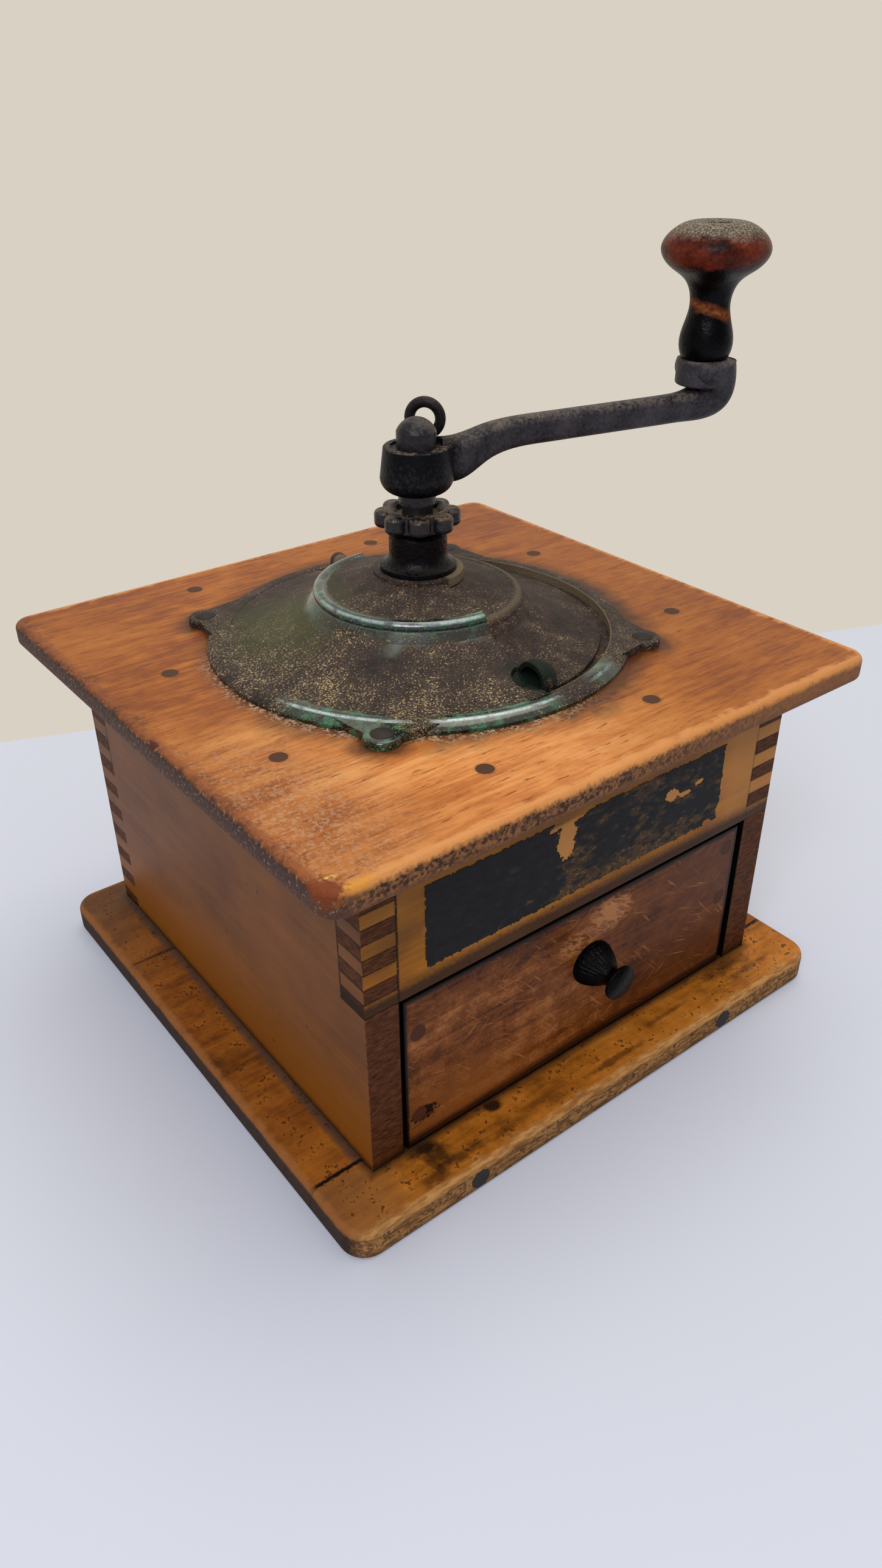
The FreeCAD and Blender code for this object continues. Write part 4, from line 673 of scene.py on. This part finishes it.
def knob_paint():
    """Black paint on a turned beech knob, worn red-brown on the head, bare orange in a band; dusty crown."""
    look, tree = new_look("worn_black_paint_on_beech")
    point, x, y, z = in_mm(tree)
    cloud = patches(tree, point, (7.0, 7.0, 4.0), 111.0)
    grit = patches(tree, point, (1.0, 1.0, 1.0), 114.0, 2.0)
    colour = add(tree, "ValToRGB", [cloud], stops=[(0.35, "#010102"), (0.6, "#050609"), (0.78, "#130c0a")])
    # Bare band that tilts across the knob
    across = add(tree, "Math:MULTIPLY", [add(tree, "Math:SUBTRACT", [x, knob_axis[0]]), 0.79])
    across = add(tree, "Math:MULTIPLY_ADD", [add(tree, "Math:SUBTRACT", [y, knob_axis[1]]), -0.61, across])
    level = add(tree, "Math:MULTIPLY_ADD", [across, 0.3, z])
    level = add(tree, "Math:MULTIPLY_ADD", [cloud, 4.0, level])
    band = apart(tree, level, knob_foot + 14.6)
    band = add(tree, "Math:MULTIPLY_ADD", [grit, 2.0, band])
    band = add(tree, "MapRange", [band, 1.5, 2.9, 0.9, 0.0])
    bare = add(tree, "ValToRGB", [grit], stops=[(0.3, "#4c2411"), (0.55, "#834621"), (0.75, "#a05f2e")])
    colour = add(tree, "MixRGB", [band, colour, bare])
    # Red-brown head with a dusty crown
    shaken = add(tree, "Math:MULTIPLY_ADD", [cloud, 5.0, z])
    head = add(tree, "MapRange", [shaken, knob_foot + 25.4, knob_foot + 27.2, 0.0, 0.95])
    mixed = add(tree, "Math:MULTIPLY_ADD", [cloud, 0.7, add(tree, "Math:MULTIPLY", [grit, 0.3])])
    red = add(tree, "ValToRGB", [mixed], stops=[(0.34, "#1a0906"), (0.48, "#4e1d12"), (0.64, "#722f1e")])
    colour = add(tree, "MixRGB", [head, colour, red])
    crown = add(tree, "MapRange", [add(tree, "Math:MULTIPLY_ADD", [grit, 2.0, shaken]),
                                   knob_foot + 33.4, knob_foot + 35.6, 0.0, 0.85])
    fine = patches(tree, point, (0.5, 0.5, 0.5), 117.0, 2.0)
    dusty = add(tree, "ValToRGB", [fine], stops=[(0.34, "#332c26"), (0.5, "#6c6658"), (0.68, "#a6a18e")])
    colour = add(tree, "MixRGB", [crown, colour, dusty])
    rough = add(tree, "Math:MULTIPLY_ADD", [add(tree, "Math:MAXIMUM", [band, crown]), 0.35, 0.34])
    dress(tree, colour, rough, add(tree, "Math:ADD", [grit, cloud]), 0.14, 0.3, 0.1)
    return look


def label_paper():
    """Slate black paper, plain at its left, rubbed olive and tan to its right and foot; nothing printed."""
    look, tree = new_look("rubbed_black_paper")
    point, x, _, z = in_mm(tree)
    cloud = patches(tree, point, (12.0, 12.0, 6.0), 121.0)
    mottle = patches(tree, point, (3.8, 3.8, 1.8), 124.0, 4.0)
    grit = patches(tree, point, (1.0, 1.0, 0.8), 127.0, 2.0)
    colour = add(tree, "ValToRGB", [mottle], stops=[(0.3, "#0f1013"), (0.6, "#1a1a1d"), (0.8, "#28231f")])
    rubbed = add(tree, "Math:MULTIPLY_ADD", [cloud, 0.55, add(tree, "Math:MULTIPLY", [mottle, 0.55])])
    sheltered = add(tree, "MapRange", [x, -36.0, -6.0, -0.16, 0.01])
    foot = add(tree, "MapRange", [z, 74.0, 67.0, 0.0, 0.07])
    rubbed = add(tree, "Math:ADD", [rubbed, add(tree, "Math:ADD", [sheltered, foot])])
    rubbed = add(tree, "MapRange", [rubbed, 0.56, 0.68, 0.0, 0.75])
    colour = add(tree, "MixRGB", [rubbed, colour, "#4f3a22"])
    bright = add(tree, "Math:MULTIPLY", [rubbed, add(tree, "MapRange", [grit, 0.54, 0.64, 0.0, 0.7])])
    colour = add(tree, "MixRGB", [bright, colour, "#8f6737"])
    dress(tree, colour, 0.6, add(tree, "Math:ADD", [mottle, grit]), 0.12, 0.0, 0.18)
    return look


def turn_to_front(shape, place):
    """Bring a shape drawn in mm to metres, turn its +Z to -Y and move it to a place in mm."""
    upright = Matrix.Rotation(math.pi / 2, 3, "X")
    bmesh.ops.scale(shape, vec=(MM, MM, MM), verts=shape.verts)
    bmesh.ops.rotate(shape, cent=(0, 0, 0), matrix=upright, verts=shape.verts)
    bmesh.ops.translate(shape, vec=[value * MM for value in place], verts=shape.verts)


def to_object(shape, name, look):
    """Make a finished shape an object of the scene, in one material."""
    mesh = bpy.data.meshes.new(name)
    shape.to_mesh(mesh)
    shape.free()
    mesh.materials.append(look)
    piece = bpy.data.objects.new(name, mesh)
    bpy.context.scene.collection.objects.link(piece)
    return piece


def one_sheet(sheet, start):
    """Take out cells held by a corner alone and scraps apart from the start cell: one closed sheet stays."""
    hanging = True
    while hanging:
        hanging = [corner.link_faces[0] for corner in sheet.verts
                   if len(corner.link_faces) == 2 and len(corner.link_edges) == 4]
        bmesh.ops.delete(sheet, geom=list(set(hanging)), context="FACES")
    seed = min(sheet.faces, key=lambda face: (face.calc_center_median() - Vector(start)).length)
    joined = {seed}
    waiting = [seed]
    while waiting:
        for edge in waiting.pop().edges:
            for other in edge.link_faces:
                if other not in joined:
                    joined.add(other)
                    waiting.append(other)
    scraps = [face for face in sheet.faces if face not in joined]
    bmesh.ops.delete(sheet, geom=scraps, context="FACES")


def label_remnant():
    """Torn paper label on the front rail: a fine grid without its torn cells, as thick as paper."""
    left, right, low, high = -52.7, 47.4, 65.7, 89.4
    columns, rows = 260, 62
    thickness, glue = 0.12, 0.02
    whole_part = (-30.0, 77.5, 0.0)
    sheet = bmesh.new()
    bmesh.ops.create_grid(sheet, x_segments=columns, y_segments=rows, size=0.5)
    bmesh.ops.scale(sheet, vec=(right - left, high - low, 1.0), verts=sheet.verts)
    bmesh.ops.translate(sheet, vec=((left + right) / 2, (low + high) / 2, 0.0), verts=sheet.verts)
    tears = [(-9.8, 83.5, 2.9, 6.4), (-9.8, 89.0, 5.6, 1.9), (27.6, 81.3, 2.3, 2.3), (32.6, 79.8, 2.4, 0.9),
             (37.6, 81.4, 1.6, 0.9), (43.4, 65.8, 2.2, 1.5), (37.0, 65.4, 1.8, 0.8), (47.8, 69.0, 1.3, 2.4)]
    gone = []
    # A slow and a quick wave move the border and the rims of the tears in and out
    for face in sheet.faces:
        at = face.calc_center_median()
        wave = noise.noise(Vector((at.x * 0.5, at.y * 0.5, 3.0))) + 0.6 * noise.noise(at * 1.6)
        border = min((at.x - left) * 1.8, right - at.x, at.y - low, (high - at.y) * 1.8)
        torn = border < 0.3 + 0.5 * wave
        for cx, cz, rx, rz in tears:
            torn = torn or math.hypot((at.x - cx) / rx, (at.y - cz) / rz) < 1.0 + 0.35 * wave
        if torn:
            gone.append(face)
    bmesh.ops.delete(sheet, geom=gone, context="FACES")
    one_sheet(sheet, whole_part)
    turn_to_front(sheet, (0.0, box_front - glue, 0.0))
    piece = to_object(sheet, "label_remnant", label_paper())
    skin = piece.modifiers.new("paper", "SOLIDIFY")
    skin.thickness = thickness * MM
    skin.offset = 1.0
    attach(piece, "box")


def drawer_pull(look):
    """Cast drawer pull spun about its axis: a fluted bell foot, a thin waist and a flat button."""
    foot_depth = 6.8
    flutes = 14
    flute_share = 0.13
    profile = [(0.0, 0.0), (6.4, 0.0), (6.6, 0.9), (6.2, 2.2), (5.3, 4.0), (4.3, 5.6), (3.3, foot_depth),
               (2.7, 7.8), (2.7, 8.7), (3.3, 9.5), (4.5, 10.1), (4.9, 10.4), (5.0, 11.0), (4.8, 11.45),
               (0.0, 11.5)]
    pull = bmesh.new()
    points = [pull.verts.new((radius, 0.0, depth)) for radius, depth in profile]
    lines = [pull.edges.new(pair) for pair in zip(points, points[1:])]
    bmesh.ops.spin(pull, geom=points + lines, axis=(0, 0, 1), cent=(0, 0, 0), angle=math.tau,
                   steps=8 * flutes, use_merge=True)
    bmesh.ops.remove_doubles(pull, verts=pull.verts, dist=0.001)
    bmesh.ops.recalc_face_normals(pull, faces=pull.faces)
    for point in pull.verts:
        share = max(0.0, math.sin(math.pi * min(point.co.z, foot_depth) / foot_depth))
        groove = 1.0 - flute_share * share * math.cos(flutes * math.atan2(point.co.y, point.co.x)) ** 2
        point.co.x *= groove
        point.co.y *= groove
    turn_to_front(pull, pull_place)
    for face in pull.faces:
        face.smooth = True
    piece = to_object(pull, "drawer_pull", look)
    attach(piece, "drawer")
    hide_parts("drawer_knob")


def paint(look, *nodes):
    """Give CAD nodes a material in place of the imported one."""
    for name in nodes:
        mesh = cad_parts[name].data
        mesh.materials.clear()
        mesh.materials.append(look)


def photo_camera():
    """Camera at the photograph's viewpoint: a phone's wide lens, above the mill and left of its front."""
    azimuth, elevation, roll = [math.radians(a) for a in (-37.621, 32.015, -0.373)]
    place = Vector((-0.170163, -0.230045, 0.239))
    back = Vector((math.sin(azimuth) * math.cos(elevation), -math.cos(azimuth) * math.cos(elevation),
                   math.sin(elevation)))
    right = Vector((math.cos(azimuth), math.sin(azimuth), 0.0))
    up = back.cross(right)
    level = math.cos(roll) * right + math.sin(roll) * up
    upright = math.cos(roll) * up - math.sin(roll) * right
    camera = bpy.data.objects.new("camera", bpy.data.cameras.new("camera"))
    camera.data.sensor_width = 36.0
    camera.data.lens = 25.97
    camera.data.clip_start = 0.01
    camera.matrix_world = Matrix.Translation(place) @ Matrix((level, upright, back)).transposed().to_4x4()
    bpy.context.scene.collection.objects.link(camera)
    bpy.context.scene.camera = camera


def stage():
    """Pale table that ends behind the mill; soft light from a bright room, a window and the ceiling."""
    width, length, far_edge = 12.0, 8.0, 0.176
    turned = Matrix.Rotation(math.radians(-22.0), 3, "Z")
    table = bmesh.new()
    bmesh.ops.create_grid(table, x_segments=1, y_segments=1, size=0.5)
    bmesh.ops.scale(table, vec=(width, length, 1.0), verts=table.verts)
    bmesh.ops.translate(table, vec=(0.0, far_edge - length / 2, 0.0), verts=table.verts)
    bmesh.ops.rotate(table, cent=(0, 0, 0), matrix=turned, verts=table.verts)
    look, tree = new_look("pale_table")
    shader = tree.nodes["Principled BSDF"]
    shader.inputs["Base Color"].default_value = linear("#ccd3e3")
    shader.inputs["Roughness"].default_value = 0.6
    shader.inputs["Specular IOR Level"].default_value = 0.2
    floor = to_object(table, "table", look)
    room = bpy.data.worlds.new("room")
    room.use_nodes = True
    tree = room.node_tree
    x, y, z = add(tree, "SeparateXYZ", [add(tree, "TexCoord", out="Generated")], out=None)
    ahead = add(tree, "Math:MULTIPLY_ADD", [x, 0.61, add(tree, "Math:MULTIPLY", [y, 0.79])])
    wall = add(tree, "MapRange", [ahead, -0.3, 0.3, 0.0, 1.0])
    around = add(tree, "MixRGB", [wall, "#6a655f", "#d9d1c4"])
    above = add(tree, "MapRange", [z, 0.3, 0.8, 0.0, 0.9])
    around = add(tree, "MixRGB", [above, around, "#eae4da"])
    tree.links.new(around, tree.nodes["Background"].inputs["Color"])
    bpy.context.scene.world = room
    for name, place, size, power, tint in (
        ("window", (-0.9, -0.75, 1.15), 0.7, 11.0, "#f2f4ff"),
        ("ceiling", (0.35, 0.1, 1.5), 0.9, 7.0, "#fff6e8"),
    ):
        lamp = bpy.data.lights.new(name, "AREA")
        lamp.shape = "SQUARE"
        lamp.size = size
        lamp.energy = power
        lamp.color = linear(tint)[:3]
        holder = bpy.data.objects.new(name, lamp)
        holder.location = place
        holder.rotation_euler = (Vector((0, 0, 0.1)) - Vector(place)).to_track_quat("-Z", "Y").to_euler()
        bpy.context.scene.collection.objects.link(holder)
    bpy.context.scene.view_settings.view_transform = "Standard"


paint(honey_top(), "top_board")
paint(base_boards(), "base_board", "base_front_strip")
side_tones = [(0.36, "#5f3616"), (0.5, "#74451c"), (0.64, "#834f20")]
end_tones = [(0.4, "#7f4c12"), (0.5, "#a86918"), (0.6, "#c07c28")]
paint(box_boards("brown_varnish_on_side_boards", 1, 61.0, side_tones), "left_side", "right_side")
paint(box_boards("brown_varnish_on_front_rail", 0, 66.0, end_tones), "front_rail")
paint(box_boards("brown_varnish_on_back_panel", 0, 68.0, side_tones), "back_panel")
paint(drawer_face(), "drawer_front")
paint(bare_pine(), "drawer_left_side", "drawer_right_side", "drawer_back", "drawer_floor")
paint(cover_iron(True), "dome_cover")
paint(cover_iron(False), "dome_door", "hopper")
for values, nodes in (
    (("dusty_black_iron", "#1f1e22", "#47444a", "#74665a", 0.7, 0.42, 0.13, "#04060b"), ["crank"]),
    (("ring_screw_iron", "#0d0b0b", "#221d1d", "#4c3d33", 0.5, 0.45, 0.2), ["eye_screw"]),
    (("black_acorn_iron", "#141318", "#363138", "#5d544d", 0.5, 0.34, 0.25), ["acorn_nut"]),
    (("rusty_black_iron", "#0c0c10", "#26252a", "#6b5236", 1.0, 0.3, 0.45), ["adjusting_nut", "lift_washer"]),
    (("blue_black_iron", "#020203", "#08090d", "#3a322b", 0.3, 0.3, 0.12), ["neck_bush", "neck_nut"]),
):
    paint(black_iron(*values), *nodes)
drawer_pull(black_iron("black_drawer_pull_iron", "#010101", "#050506", "#2e2a28", 0.1, 0.24, 0.06))
paint(nail_heads("rusted_nails_in_honey_varnish", "#4a3020", top_nails, 3.2), "top_nails")
paint(nail_heads("rusted_nails_in_red_brown_varnish", "#4a2712", drawer_nails, 3.4), "drawer_nails")
paint(plain_iron("dark_nail_iron", "#120b08", "#241812", 0.0, 0.6), "strip_nails", "dome_screws")
paint(plain_iron("oiled_steel", "#4a4642", "#6b6660", 0.9, 0.42), "spindle", "knob_pin", "burr_pin",
      "base_screws", "burr_ring_screws", "bridge_screws", "drawer_knob_screw")
paint(plain_iron("oiled_burr_iron", "#2c2825", "#46403a", 0.6, 0.5),
      "burr_ring", "inner_burr", "spindle_bridge")
paint(knob_paint(), "crank_knob")
label_remnant()
photo_camera()
stage()
